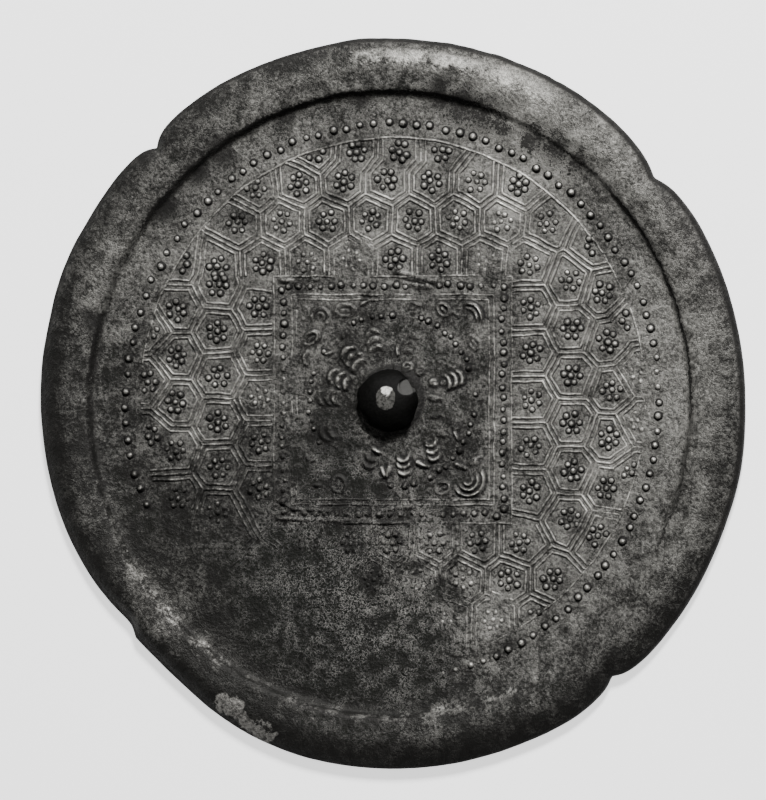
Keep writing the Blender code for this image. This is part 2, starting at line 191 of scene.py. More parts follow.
# The flat, rubbed facet over the cord hole: direction, distance and height of its middle, lean, radius
FACET_DIRECTION = 31.0
FACET_DISTANCE = 6.8
FACET_LEVEL = 3.3
FACET_LEAN = 60.0
FACET_RADIUS = 2.35
FAR_MOUTH_DISTANCE = 7.9
FAR_MOUTH_RADIUS = 2.6
FAR_MOUTH_RISE = 3.6
KNOB_UNEVENNESS = 1.0
# Fillet between the ground and the knob: height at the knob, reach
KNOB_FOOT = (0.9, 0.7)
# Depth of the knob's body below the ground, half length of the cutting bore, height of the cutting facet
KNOB_SUNK = 0.9
BORE_HALF = 14.0
FACET_CUT = 9.0

# Places where the relief is worn away, from the middle of the ornament: place, reach, most wear
WORN_PATCHES = (
    (-24.0, -55.0, 32.0, 1.0),
    (4.0, -62.0, 27.0, 0.97),
    (-54.0, -43.0, 20.0, 1.0),
    (-12.0, -11.0, 9.0, 0.75),
    (67.0, 6.0, 8.0, 0.7),
    (66.0, -8.0, 7.0, 0.7),
    (62.0, 26.0, 5.0, 0.5),
    (29.0, -55.0, 7.0, 0.6),
    (58.0, -30.0, 6.0, 0.4),
    (-10.6, 37.0, 8.0, 0.7),
    (-26.0, 39.0, 7.0, 0.4),
    (26.0, 35.5, 6.5, 0.7),
    (34.0, 47.0, 6.0, 0.5),
    (-42.0, 12.0, 7.0, 0.4),
    (-29.5, 2.0, 14.0, 0.45),
    (-27.0, -16.0, 12.0, 0.35),
    (10.0, -30.0, 10.0, 0.4),
    (8.0, 29.5, 5.0, 0.7),
)
WEAR_FALL = 1.6

# Mesh fineness
PANEL_STEP = 0.36
FINE_HALF = 33.6
GROUND_STEP = 0.86
STUD_SEGMENTS = 14
DOT_SEGMENTS = 8
KNOB_VOXEL = 0.24
KNOB_SOFTENING = 3
# How far round a place, and in how many directions, the ground is looked at for hollows
HOLLOW_REACH = 0.9
HOLLOW_WAYS = 8
# Metres over the polished face from which a grown piece drops onto the casting, and how far
DROP_FROM = 0.02
DROP_REACH = 0.05
# Share of wear past which nothing is left of a stud
WORN_OFF = 0.93


# The metal's unevenness
class Grain:
    """Smooth random unevenness over the plane, the same on every run for the same seed."""

    SIZE = 256

    def __init__(self, seed):
        self.table = np.random.default_rng(seed).uniform(-1.0, 1.0, (self.SIZE, self.SIZE))

    def at(self, x, y, pitch):
        u, v = x / pitch, y / pitch
        i, j = np.floor(u).astype(int), np.floor(v).astype(int)
        a, b = u - i, v - j
        a = a * a * (3.0 - 2.0 * a)
        b = b * b * (3.0 - 2.0 * b)
        i, j = i % self.SIZE, j % self.SIZE
        k, m = (i + 1) % self.SIZE, (j + 1) % self.SIZE
        low = self.table[i, j] * (1 - a) + self.table[k, j] * a
        high = self.table[i, m] * (1 - a) + self.table[k, m] * a
        return low * (1 - b) + high * b

    def layered(self, x, y, pitch, layers=3):
        total = sum(self.at(x, y, pitch / 2**k) / 2**k for k in range(layers))
        return total / (2.0 - 2.0 ** (1 - layers))


swell_grain = Grain(11)
pit_grain = Grain(23)
wear_grain = Grain(37)


def smooth(low, high, value):
    """0 below low, 1 above high, and an even ease between them."""
    share = np.clip((value - low) / (high - low), 0.0, 1.0)
    return share * share * (3.0 - 2.0 * share)


def turn_from(direction, angles):
    return (angles - direction + 180.0) % 360.0 - 180.0


def edge_depth(angles):
    """How far the outline lies inside the full circle at those angles in degrees."""
    direction, deepest, width = WORN_EDGE
    off = np.radians(turn_from(direction, angles)) * MIRROR_RADIUS
    depth = deepest * np.exp(-((off / width) ** 2))
    for direction, deepest, before, after, roundness in NOTCHES:
        along = np.radians(turn_from(direction, angles)) * MIRROR_RADIUS
        off = np.hypot(along, roundness) - roundness
        depth = np.maximum(depth, deepest * np.exp(-off / np.where(along > 0, after, before)))
    for direction, height, width in EDGE_SWELLS:
        along = np.radians(turn_from(direction, angles)) * MIRROR_RADIUS
        depth = depth - height * np.exp(-((along / width) ** 2))
    ragged = wear_grain.layered(np.radians(angles) * MIRROR_RADIUS, 0.0 * angles + 3.3, 5.0)
    direction, width, deepest = CHIPPED_EDGE
    chips = np.exp(-((turn_from(direction, angles) / width) ** 4))
    chips = chips * wear_grain.layered(np.radians(angles) * MIRROR_RADIUS, 0.0 * angles + 9.1, 2.4, 2)
    return depth + EDGE_RAGGEDNESS * ragged + deepest * chips


def cove_softness(angles):
    soft = 0.0 * angles
    for direction, width, most in SOFT_COVES:
        soft = np.maximum(soft, most * np.exp(-((turn_from(direction, angles) / width) ** 4)))
    return soft


def soft_slope(out):
    """Height of a soft slope from the field up to the rim."""
    low, high = SOFT_COVE
    return FIELD_THICKNESS + (SOFT_COVE_HEIGHT - FIELD_THICKNESS) * smooth(low, high, out)


def wear(x, y):
    """How much of the relief is lost at a place, from 0 for none to 1 for all."""
    x, y = x - ORNAMENT_X, y - ORNAMENT_Y
    lost = 0.0 * x
    for middle_x, middle_y, reach, most in WORN_PATCHES:
        here = WEAR_FALL * (1.0 - np.hypot(x - middle_x, y - middle_y) / reach)
        lost = np.maximum(lost, most * np.minimum(here, 1.0))
    return np.clip(lost + 0.16 * wear_grain.layered(x, y, 9.0), 0.0, 1.0)


# Leafwork of the panel, as heights over the ground
def local(x, y, middle, direction):
    """Coordinates from a motif's middle, along its direction and across it."""
    turn = math.radians(direction)
    dx, dy = x - middle[0], y - middle[1]
    return dx * math.cos(turn) + dy * math.sin(turn), dy * math.cos(turn) - dx * math.sin(turn)


def blossom(x, y, middle, direction, count, half, pitch, height):
    """Stacked crescents: scales that rise outward to a steep edge, bowed away from the knob."""
    along, across = local(x, y, middle, direction)
    phase = (along + 0.62 * half * (across / half) ** 2) / pitch + count / 2
    part = phase - np.floor(phase)
    scale = smooth(0.05, 0.62, part) * smooth(1.0, 0.72, part)
    inside = smooth(0.0, 0.12, phase) * smooth(count, count - 0.08, phase)
    widest = half * (1.0 - 0.12 * np.abs(2.0 * phase / count - 1.1))
    return height * (0.3 + 0.7 * scale) * inside * smooth(widest + 0.1, widest - 0.7, np.abs(across))


def bud(x, y, middle, direction, length, width, height):
    """An oval ring with a ridge down its middle."""
    along, across = local(x, y, middle, direction)
    out = np.hypot(along / (length / 2), across / (width / 2))
    ring = np.exp(-(((out - 0.85) / 0.2) ** 2))
    ridge = np.exp(-(((across + 0.12 * along) / 0.26) ** 2))
    ridge = ridge * smooth(0.6, 0.35, np.abs(along) / (length / 2))
    return height * np.maximum(ring, 0.8 * ridge)


def scroll(x, y, middle, direction, radii, spread, height):
    """Nested arcs round one middle, open away from their direction."""
    along, across = local(x, y, middle, direction)
    out = np.hypot(along, across)
    off = np.degrees(np.abs(np.arctan2(across, along)))
    arcs = sum(np.exp(-(((out - radius) / 0.36) ** 2)) for radius in radii)
    return height * np.minimum(arcs, 1.0) * smooth(spread + 18.0, spread - 12.0, off)


def leaf(x, y, middle, direction, length, width, height):
    """A pointed leaf with a midrib."""
    along, across = local(x, y, middle, direction)
    share = along / length + 0.5
    half = width / 2 * np.sqrt(np.clip(4.0 * share * (1.0 - share), 0.0, 1.0)) * (1.15 - 0.5 * share)
    body = smooth(0.0, 0.4, half - np.abs(across)) * smooth(0.0, 0.1, share) * smooth(1.0, 0.9, share)
    return height * body * (0.8 + 0.3 * np.exp(-((across / 0.25) ** 2)))


def stroke(x, y, corners, half, height):
    """A ridge, or a crack if its height is below zero, along straight runs between corners."""
    gap = np.full_like(x, 1e3)
    for (ax, ay), (bx, by) in zip(corners, corners[1:]):
        run = (bx - ax) ** 2 + (by - ay) ** 2
        share = np.clip(((x - ax) * (bx - ax) + (y - ay) * (by - ay)) / run, 0.0, 1.0)
        gap = np.minimum(gap, np.hypot(x - ax - share * (bx - ax), y - ay - share * (by - ay)))
    uneven = 1.0 + 0.6 * pit_grain.layered(x, y, 1.1, 2)
    return height * uneven * np.exp(-((gap / half) ** 2))


def polar(direction, distance):
    turn = math.radians(direction)
    return (distance * math.cos(turn), distance * math.sin(turn))


RELIEF_GAIN = 1.5
# Motifs of the panel from the middle of the ornament. Blossoms: middle, direction they open to,
# crescents, half width, pitch, height
BLOSSOMS = (
    ((17.1, 5.5), 19, 3, 2.5, 1.8, 0.6),
    ((11.1, -13.5), -76, 3, 2.1, 1.85, 0.65),
    ((3.3, -17.4), -85, 3, 2.2, 1.75, 0.65),
    ((17.0, -6.4), -35, 3, 1.6, 1.35, 0.3),
    ((-4.8, 15.8), 103, 3, 2.5, 2.1, 0.42),
    ((-10.9, 11.2), 132, 3, 2.9, 2.2, 0.55),
    ((-14.4, 5.5), 158, 3, 2.6, 2.2, 0.5),
    ((-17.6, 0.6), 178, 3, 2.4, 2.0, 0.4),
    ((-17.9, -8.6), 203, 2, 2.7, 2.0, 0.42),
    ((5.2, 14.6), 68, 3, 2.2, 2.1, 0.16),
    ((-6.2, -16.4), -112, 2, 2.2, 1.9, 0.4),
)
# Leaves: middle, direction, length, width, height
LEAVES = (
    ((11.3, 4.4), -30, 2.6, 2.6, 0.6),
    ((13.9, 4.5), 70, 1.8, 2.2, 0.5),
    ((-2.3, -18.6), -72, 3.6, 1.8, 0.6),
    ((-0.9, -18.6), -108, 3.6, 1.8, 0.6),
    ((8.3, -16.8), -24, 4.2, 2.0, 0.55),
    ((18.6, -17.3), -25, 4.0, 1.9, 0.55),
    ((17.4, -9.4), -62, 3.2, 1.3, 0.5),
    ((22.6, -15.8), 32, 4.6, 2.6, 0.4),
    ((13.4, -8.9), -20, 3.4, 2.4, 0.25),
    ((1.5, 12.7), 97, 3.2, 1.2, 0.5),
    ((5.8, 16.9), 118, 3.0, 1.1, 0.4),
    ((-4.1, -13.2), -28, 3.2, 1.5, 0.6),
    ((-7.4, 25.4), 30, 3.2, 1.5, 0.4),
    ((17.2, 22.2), -45, 3.4, 1.5, 0.28),
    ((-12.8, 17.0), 60, 3.0, 1.5, 0.3),
    ((-16.9, 12.2), 10, 3.0, 1.4, 0.35),
    ((0.9, 8.6), 95, 2.6, 1.0, 0.4),
    ((6.4, 25.0), -20, 3.4, 1.0, 0.3),
    ((-20.2, -22.2), 0, 2.8, 1.2, 0.35),
    ((11.6, 0.4), -8, 4.2, 2.2, 0.3),
    ((12.0, -4.0), 8, 3.6, 2.0, 0.22),
)
# Oval buds: middle, lean, length, width, height
BUDS = (
    ((13.9, 23.4), -48, 4.3, 3.3, 0.6),
    ((22.1, 14.8), -52, 4.8, 2.8, 0.28),
    ((13.7, -23.0), 24, 4.6, 3.5, 0.5),
    ((-12.7, 23.3), 4, 5.6, 3.6, 0.34),
    ((-21.9, 16.0), 38, 5.2, 3.2, 0.4),
    ((-14.5, -22.0), 90, 4.6, 4.2, 0.34),
    ((-23.6, 22.6), 80, 4.0, 2.2, 0.2),
    ((4.2, 8.6), 20, 2.8, 2.4, 0.4),
    ((7.6, 7.6), 50, 2.4, 1.9, 0.45),
)
# Scrolls: middle, direction they face, radii, spread to each side, height
SCROLLS = (
    ((20.3, 21.2), 42, (2.6, 3.9), 52, 0.6),
    ((20.6, -20.8), -62, (1.2, 2.6, 4.1), 88, 0.6),
    ((-19.4, 21.6), 70, (0.9, 2.3), 130, 0.3),
    ((-21.6, 10.6), 168, (2.3,), 50, 0.45),
    ((-19.9, -19.6), 90, (1.3,), 60, 0.3),
    ((-21.6, -14.2), 250, (1.7,), 60, 0.3),
)
# Casting flaws: corners, half width, height; below zero for cracks
FLAWS = (
    (((-21.9, 33.9), (-21.4, 31.2), (-19.5, 31.5), (-18.0, 33.8)), 0.38, 0.5),
    (((-21.4, 31.1), (-20.6, 28.4), (-20.3, 26.0)), 0.22, -0.4),
    (((1.2, 33.4), (4.9, 32.3), (8.4, 31.2), (11.6, 30.9)), 0.8, 0.7),
    (((3.0, 30.4), (7.0, 29.7), (10.2, 29.3)), 0.55, 0.55),
    (((-30.2, 31.4), (-27.4, 31.1)), 0.6, 0.7),
    (((-29.3, -26.6), (-27.2, -28.4), (-17.3, -29.0)), 0.45, 0.6),
    (((-30.6, -30.9), (-22.8, -31.2)), 0.6, 0.6),
    (((-31.6, -29.4), (-25.5, -29.8), (-17.4, -30.7)), 0.42, -0.7),
    (((-23.2, -31.9), (-13.3, -32.3), (-1.1, -33.0)), 0.4, -0.6),
    (((-20.0, -31.3), (-8.0, -31.6), (4.0, -32.2)), 0.4, 0.4),
    (((32.9, 18.0), (32.8, 2.0)), 0.3, -0.25),
    (((32.8, 2.0), (32.6, -20.4)), 0.4, -0.6),
    (((31.4, -3.0), (31.3, -19.5), (30.6, -21.5)), 0.4, 0.35),
    (((-24.0, 19.5), (-22.6, 12.0)), 0.2, -0.2),
    (((-4.0, -29.4), (0.6, -28.1), (6.0, -27.9)), 0.45, 0.35),
    (((5.0, -25.0), (6.6, -28.0)), 0.4, 0.4),
)


def leafwork(x, y):
    """Height of the panel's ornament over the ground."""
    x, y = x - ORNAMENT_X, y - ORNAMENT_Y
    tall = 0.0 * x
    for shape, motifs in ((blossom, BLOSSOMS), (leaf, LEAVES), (bud, BUDS), (scroll, SCROLLS)):
        for motif in motifs:
            tall = np.maximum(tall, shape(x, y, *motif))
    uneven = 1.0 + 0.6 * wear_grain.layered(x + 30.0, y, 2.0, 3)
    return RELIEF_GAIN * tall * uneven * (1.0 - wear(x, y)) ** 0.7


def with_flaws(tall, x, y):
    """The ground's height with the flaws of the casting added."""
    x, y = x - ORNAMENT_X, y - ORNAMENT_Y
    for corners, half, height in FLAWS:
        made = stroke(x, y, corners, half, height)
        tall = np.maximum(tall, made) if height > 0 else tall + made
    return tall


def ground(x, y):
    """Height of the cast back inside the rim, with its unevenness, pits and the panel's ornament."""
    lost = wear(x, y)
    tall = FIELD_THICKNESS + 0.07 * swell_grain.layered(x, y, 17.0) + 0.035 * swell_grain.layered(x, y, 3.1)
    soft = cove_softness(np.degrees(np.arctan2(y, x)))
    tall = tall + soft * (soft_slope(np.hypot(x, y)) - FIELD_THICKNESS)
    eaten = smooth(0.35, 0.75, pit_grain.layered(x, y, 1.9, 2))
    tall = tall - (0.05 + 0.13 * lost) * eaten
    crust = smooth(0.35, 0.8, pit_grain.layered(x + 70.0, y, 1.5, 2))
    tall = tall + (0.03 + 0.12 * lost) * crust
    tall = with_flaws(leafwork(x, y), x, y) + tall
    from_knob = np.hypot(x - KNOB_X, y - KNOB_Y) - KNOB_RADIUS
    height, reach = KNOB_FOOT
    return tall + height * np.exp(-np.maximum(from_knob, 0.0) / reach)


# Meshes
def mesh_of(name, points, faces, attributes):
    """A smooth mesh from points in millimetres."""
    mesh = bpy.data.meshes.new(name)
    mesh.from_pydata((np.asarray(points) * MM).tolist(), [], faces)
    for key, values in attributes.items():
        mesh.attributes.new(key, "FLOAT", "POINT").data.foreach_set("value", np.asarray(values, np.float32))
    mesh.shade_smooth()
    return mesh


def shown(name, mesh):
    made = bpy.data.objects.new(name, mesh)
    bpy.context.scene.collection.objects.link(made)
    return made


def packed_rows(step, half):
    """Points of a triangular lattice over a square."""
    rows = []
    for k, y in enumerate(np.arange(-half, half, step * math.sqrt(0.75))):
        xs = np.arange(-half, half, step) + (k % 2) * step / 2
        rows.append(np.stack([xs, np.full_like(xs, y)], axis=1))
    return np.concatenate(rows)


def field_points():
    """Close points over the panel and wider ones over the ground round it."""
    middle = np.array([ORNAMENT_X, ORNAMENT_Y])
    fine = packed_rows(PANEL_STEP, FINE_HALF) + middle
    first = RIM_SECTION[0][0]
    wide = packed_rows(GROUND_STEP, first) + middle
    far = np.abs(wide - middle).max(axis=1) > FINE_HALF + PANEL_STEP
    inside = np.hypot(wide[:, 0], wide[:, 1]) < first - 0.7 * GROUND_STEP
    return np.concatenate([fine, wide[far & inside]])


def rim_loops():
    """The rim's loops from the field out and under: points of each, in order round the mirror."""
    angles = np.arange(RIM_STEPS) * 360.0 / RIM_STEPS
    turn = np.radians(angles)
    depth = edge_depth(angles)
    loops = []
    for radius, height, share in RIM_SECTION:
        around = np.radians(angles) * radius
        lip = np.exp(-(((radius - LIP_RADIUS) / LIP_HALF) ** 2))
        wander = wear_grain.layered(around, 0.0 * around + 40.0, 16.0)
        wander = wander + 0.8 * pit_grain.layered(around, 0.0 * around + 7.0, 2.6, 2)
        reach = radius - share * depth + LIP_WANDER * lip * wander
        x, y = reach * np.cos(turn), reach * np.sin(turn)
        if height > FIELD_THICKNESS:
            top = smooth(3.0, 4.5, height)
            rough = 0.09 * swell_grain.layered(x, y, 13.0) + 0.05 * swell_grain.layered(x, y, 3.1)
            rough = rough - 0.1 * smooth(0.35, 0.75, pit_grain.layered(x, y, 2.3, 2))
            z = height + top * rough + (1.0 - top) * 0.07 * swell_grain.layered(x, y, 17.0)
            if radius < 84.0:
                share_soft = cove_softness(angles)
                z = z + share_soft * (soft_slope(np.full_like(x, radius)) - height)
        else:
            z = np.full_like(x, height)
        loops.append(np.stack([x, y, z], axis=1))
    return loops


def hollow_of(x, y):
    """How deep a place lies below the ground round it, negative where it stands proud."""
    level = 0.0 * x
    for k in range(HOLLOW_WAYS):
        turn = 2 * math.pi * k / HOLLOW_WAYS
        level = level + ground(x + HOLLOW_REACH * math.cos(turn), y + HOLLOW_REACH * math.sin(turn))
    return level / HOLLOW_WAYS - ground(x, y)


def casting_mesh():
    """The whole casting but its knob: the field as a fine net of heights, and the rim lofted round it."""
    loops = rim_loops()
    first = loops[0]
    flat = np.concatenate([field_points(), first[:, :2]])
    corners, _, faces, origins, _, _ = delaunay_2d_cdt([Vector(p) for p in flat], [], [], 0, 1e-7)
    index = np.zeros(len(flat), int)
    for i, sources in enumerate(origins):
        for source in sources:
            index[source] = i
    spread = np.array([tuple(corner) for corner in corners])
    x, y = spread[:, 0], spread[:, 1]
    inner = np.stack([x, y, ground(x, y)], axis=1)
    edge = index[len(flat) - RIM_STEPS :]
    points = [inner]
    faces = [tuple(face) for face in faces]
    count = len(inner)
    below = edge
    for loop in loops[1:]:
        here = count + np.arange(RIM_STEPS)
        points.append(loop)
        count += RIM_STEPS
        following = np.roll(here, -1)
        beside = np.roll(below, -1)
        faces += [tuple(int(v) for v in quad) for quad in zip(below, here, following, beside)]
        below = here
    points.append(np.array([[0.0, 0.0, 0.0]]))
    beside = np.roll(below, -1)
    faces += [(int(a), count, int(b)) for a, b in zip(below, beside)]
    points = np.concatenate(points)
    hollow = np.zeros(len(points))
    hollow[: len(inner)] = hollow_of(x, y)
    relief = np.zeros(len(points))
    relief[: len(inner)] = leafwork(x, y)
    for number, (_, height, _) in enumerate(RIM_SECTION[1:]):
        if number >= FLANK_FIRST:
            first_point = len(inner) + number * RIM_STEPS
            hollow[first_point : first_point + RIM_STEPS] = FLANK_DIRT * smooth(4.2, 3.3, height)
    mesh = mesh_of("mirror_casting", points, faces, {"hollow": hollow, "relief": relief})
    piece = bmesh.new()
    piece.from_mesh(mesh)
    bmesh.ops.recalc_face_normals(piece, faces=piece.faces)
    piece.to_mesh(mesh)
    piece.free()
    return mesh


def stud_template(name, radius, height, segments):
    """A cast pearl: a dome that flares out into the ground, closed below."""
    section = (
        (0.0, 1.0, 0.0),
        (0.45, 0.9, 0.0),
        (0.8, 0.62, 0.08),
        (1.0, 0.28, 0.32),
        (1.16, 0.05, 0.46),
        (1.6, -0.05, 0.2),
    )
    points = [(0.0, 0.0, height)]
    hollow = [0.0]
    for share, level, dirty in section[1:]:
        hollow += [dirty] * segments
        for k in range(segments):
            turn = 2 * math.pi * k / segments
            out = radius * share
            points.append((out * math.cos(turn), out * math.sin(turn), height * level))
    points.append((0.0, 0.0, -0.12 * height))
    hollow.append(0.0)
    faces = []
    for k in range(segments):
        m = (k + 1) % segments
        faces.append((0, 1 + k, 1 + m))
        for ring in range(len(section) - 2):
            a = 1 + ring * segments
            faces.append((a + k, a + segments + k, a + segments + m, a + m))
        a = 1 + (len(section) - 2) * segments
        faces.append((a + k, len(points) - 1, a + m))
    relief = [max(0.0, point[2]) for point in points]
    template = shown(name, mesh_of(name, points, faces, {"relief": relief, "hollow": hollow}))
    template.hide_render = True
    return template


# Lines and florets of the tortoise-shell ground
def floret_middles():
    """Middles of the cells, row by row, laid by hand."""
    draw = random.Random(LAYING_SEED)
    middles = []
    for side, gap, first, last, bend in FLORET_ROWS:
        turn = math.radians(side - 90)
        steps = round((last - first) / FLORET_PITCH)
        for step in range(steps + 1):
            along = first + (last - first) * step / steps
            along_here = along + draw.uniform(-HAND_LAID, HAND_LAID)
            out = PANEL_EDGE + gap - bend * along * along + draw.uniform(-HAND_LAID, HAND_LAID)
            x = along_here * math.cos(turn) - out * math.sin(turn)
            y = along_here * math.sin(turn) + out * math.cos(turn)
            middles.append(Vector((x, y)))
    return middles


def clip(polygon, normal, limit, label):
    """Cuts a convex polygon back to where the distance along normal is below limit. Each entry is a corner
    and the label of the edge that starts there."""
    kept = []
    for i, (here, edge) in enumerate(polygon):
        there = polygon[(i + 1) % len(polygon)][0]
        from_here, from_there = here.dot(normal) - limit, there.dot(normal) - limit
        if from_here <= 0:
            kept.append((here, edge))
        if (from_here <= 0) != (from_there <= 0):
            crossing = here.lerp(there, from_here / (from_here - from_there))
            kept.append((crossing, label if from_here <= 0 else edge))
    return kept


def cell(number, middles, inset):
    """The cell round one floret; each edge is labelled by its neighbour's number, or -1 for none."""
    middle = middles[number]
    size = CELL_REACH
    corners = ((-size, -size), (size, -size), (size, size), (-size, size))
    polygon = [(middle + Vector(corner), -1) for corner in corners]
    for other_number, other in enumerate(middles):
        gap = other - middle
        if 0 < gap.length < 2 * size:
            room = gap.length / 2 - CELL_INSET > FLORET_RADIUS + DOT_RADIUS
            limit = gap.length / 2 - (inset if room else 0.0)
            normal = gap.normalized()
            polygon = clip(polygon, normal, middle.dot(normal) + limit, other_number if room else -1)
    heading = math.atan2(middle.y, middle.x)
    for step in range(-4, 5):
        way = heading + step * math.radians(3.0)
        polygon = clip(polygon, Vector((math.cos(way), math.sin(way))), BORDER_RADIUS - 0.3, -1)
    outward = Vector((math.copysign(1.0, middle.x), 0.0))
    if abs(middle.y) > abs(middle.x):
        outward = Vector((0.0, math.copysign(1.0, middle.y)))
    return clip(polygon, -outward, -(FRAME_OUTER_HALF + 0.3), -1)


def cell_lines(middles):
    """Three lines between every two florets: the inner outline of each cell and one shared line between."""
    lines = []
    for number in range(len(middles)):
        inner = cell(number, middles, CELL_INSET)
        count = len(inner)
        starts = [i for i in range(count) if inner[i][1] >= 0 and inner[i - 1][1] < 0]
        if not starts and count and inner[0][1] >= 0:
            lines.append([corner for corner, _ in inner] + [inner[0][0]])
        for start in starts:
            run = [inner[start][0]]
            i = start
            while inner[i % count][1] >= 0:
                i += 1
                run.append(inner[i % count][0])
            lines.append(run)
        outer = cell(number, middles, 0.0)
        for i, (corner, label) in enumerate(outer):
            if label > number:
                lines.append([corner, outer[(i + 1) % len(outer)][0]])
    return lines


def square_line(half):
    corners = ((-1, -1), (1, -1), (1, 1), (-1, 1), (-1, -1))
    return [Vector((x * half + PANEL_SHIFT[0], y * half + PANEL_SHIFT[1])) for x, y in corners]


def arc_line(first, last, radius, step=2.0):
    count = max(2, round(abs(last - first) / step))
    return [Vector(polar(first + (last - first) * i / count, radius)) for i in range(count + 1)]


def worn_host(name, points, edges, fade=0.0):
    """Points in millimetres with edges between them, each point told how worn its place is."""
    mesh = bpy.data.meshes.new(name)
    places = np.array([(point.x + ORNAMENT_X, point.y + ORNAMENT_Y, FIELD_THICKNESS) for point in points])
    shake = [swell_grain.layered(places[:, 0] + at, places[:, 1], HAND_PITCH, 2) for at in (60.0, 120.0)]
    places[:, :2] += HAND_SHAKE * np.stack(shake, axis=1)
    mesh.from_pydata((places * MM).tolist(), edges, [])
    worn = np.clip(wear(places[:, 0], places[:, 1]) + fade, 0.0, 1.0)
    mesh.attributes.new("worn", "FLOAT", "POINT").data.foreach_set("value", worn.astype(np.float32))
    return shown(name, mesh)


def path_host(name, lines, step, fade):
    """Edges along lines, a point every step at most; a line that ends where it starts is closed."""
    points, edges = [], []
    for line in lines:
        first = len(points)
        closed = (line[0] - line[-1]).length < 0.001
        for here, there in zip(line, line[1:]):
            parts = max(1, math.ceil((there - here).length / step))
            points += [here.lerp(there, part / parts) for part in range(parts)]
        if not closed:
            points.append(line[-1])
        edges += [(i, i + 1) for i in range(first, len(points) - 1)]
        if closed:
            edges.append((len(points) - 1, first))
    return worn_host(name, points, edges, fade)


# Node trees
class Wire:
    """A value on its way through a node tree. Arithmetic on it adds Math nodes."""

    def __init__(self, graph, socket):
        self.graph = graph
        self.socket = socket

    def out(self, name):
        return Wire(self.graph, self.socket.node.outputs[name])

    def math(self, operation, *values):
        return self.graph.node("ShaderNodeMath", {"operation": operation}, dict(enumerate(values)))

    def __add__(self, other):
        return self.math("ADD", self, other)

    def __radd__(self, other):
        return self.math("ADD", other, self)

    def __sub__(self, other):
        return self.math("SUBTRACT", self, other)

    def __rsub__(self, other):
        return self.math("SUBTRACT", other, self)

    def __mul__(self, other):
        return self.math("MULTIPLY", self, other)

    def __rmul__(self, other):
        return self.math("MULTIPLY", other, self)

    def __truediv__(self, other):
        return self.math("DIVIDE", self, other)

    def __neg__(self):
        return self.math("MULTIPLY", self, -1.0)

    def __pow__(self, other):
        return self.math("POWER", self, other)

    def size(self):
        return self.math("ABSOLUTE", self)

    def at_least(self, other):
        return self.math("MAXIMUM", self, other)

    def at_most(self, other):
        return self.math("MINIMUM", self, other)

    def ease(self, low, high):
        """0 at low, 1 at high, and an even ease between; low may be the larger."""
        settings = {"interpolation_type": "SMOOTHSTEP"}
        flip = low > high
        values = {"Value": self, "From Min": min(low, high), "From Max": max(low, high)}
        eased = self.graph.node("ShaderNodeMapRange", settings, values)
        return 1.0 - eased if flip else eased


class Graph:
    """A node tree with one way to add a node."""

    def __init__(self, tree):
        self.tree = tree

    def node(self, kind, settings=None, inputs=None, output=0):
        made = self.tree.nodes.new(kind)
        for name, value in (settings or {}).items():
            setattr(made, name, value)
        for key, value in (inputs or {}).items():
            if isinstance(value, Wire):
                self.tree.links.new(value.socket, made.inputs[key])
            else:
                made.inputs[key].default_value = value
        return Wire(self, made.outputs[output]) if made.outputs else made


def new_shape_tree(name, sockets):
    """A geometry tree with the given named inputs, its graph, and its inputs as wires."""
    tree = bpy.data.node_groups.new(name, "GeometryNodeTree")
    tree.interface.new_socket("Geometry", in_out="INPUT", socket_type="NodeSocketGeometry")
    for label, kind in sockets:
        tree.interface.new_socket(label, in_out="INPUT", socket_type=kind)
    tree.interface.new_socket("Geometry", in_out="OUTPUT", socket_type="NodeSocketGeometry")
    graph = Graph(tree)
    entry = tree.nodes.new("NodeGroupInput")
    wires = {socket.name: Wire(graph, socket) for socket in entry.outputs if socket.name}
    return graph, wires


def finish_shape_tree(graph, shape, material):
    """Ends the tree with real geometry and its material."""
    real = graph.node("GeometryNodeRealizeInstances", None, {"Geometry": shape})
    finished = graph.node("GeometryNodeSetMaterial", None, {"Geometry": real, "Material": material})
    exit_node = graph.tree.nodes.new("NodeGroupOutput")
    graph.tree.links.new(finished.socket, exit_node.inputs["Geometry"])
    return graph.tree


def shape_of(graph, thing):
    """The mesh of another object, in its own coordinates."""
    settings = {"transform_space": "ORIGINAL"}
    return graph.node("GeometryNodeObjectInfo", settings, {"Object": thing}, "Geometry")


def worn_here(graph):
    """How worn the place of each point is."""
    settings = {"data_type": "FLOAT"}
    return graph.node("GeometryNodeInputNamedAttribute", settings, {"Name": "worn"}, "Attribute")


def on_ground(graph, shape, floor, sunk):
    """Drops every point of a shape onto the ground, then lowers it by sunk."""
    surface = shape_of(graph, floor)
    spot = graph.node("GeometryNodeInputPosition")
    above = graph.node("ShaderNodeVectorMath", {"operation": "ADD"}, {0: spot, 1: (0.0, 0.0, DROP_FROM)})
    values = {
        "Target Geometry": surface,
        "Source Position": above,
        "Ray Direction": (0.0, 0.0, -1.0),
        "Ray Length": DROP_REACH,
    }
    hit = graph.node("GeometryNodeRaycast", None, values, "Hit Position")
    lowered = graph.node("ShaderNodeCombineXYZ", None, {"Z": -sunk})
    place = graph.node("ShaderNodeVectorMath", {"operation": "ADD"}, {0: hit, 1: lowered})
    return graph.node("GeometryNodeSetPosition", None, {"Geometry": shape, "Position": place})


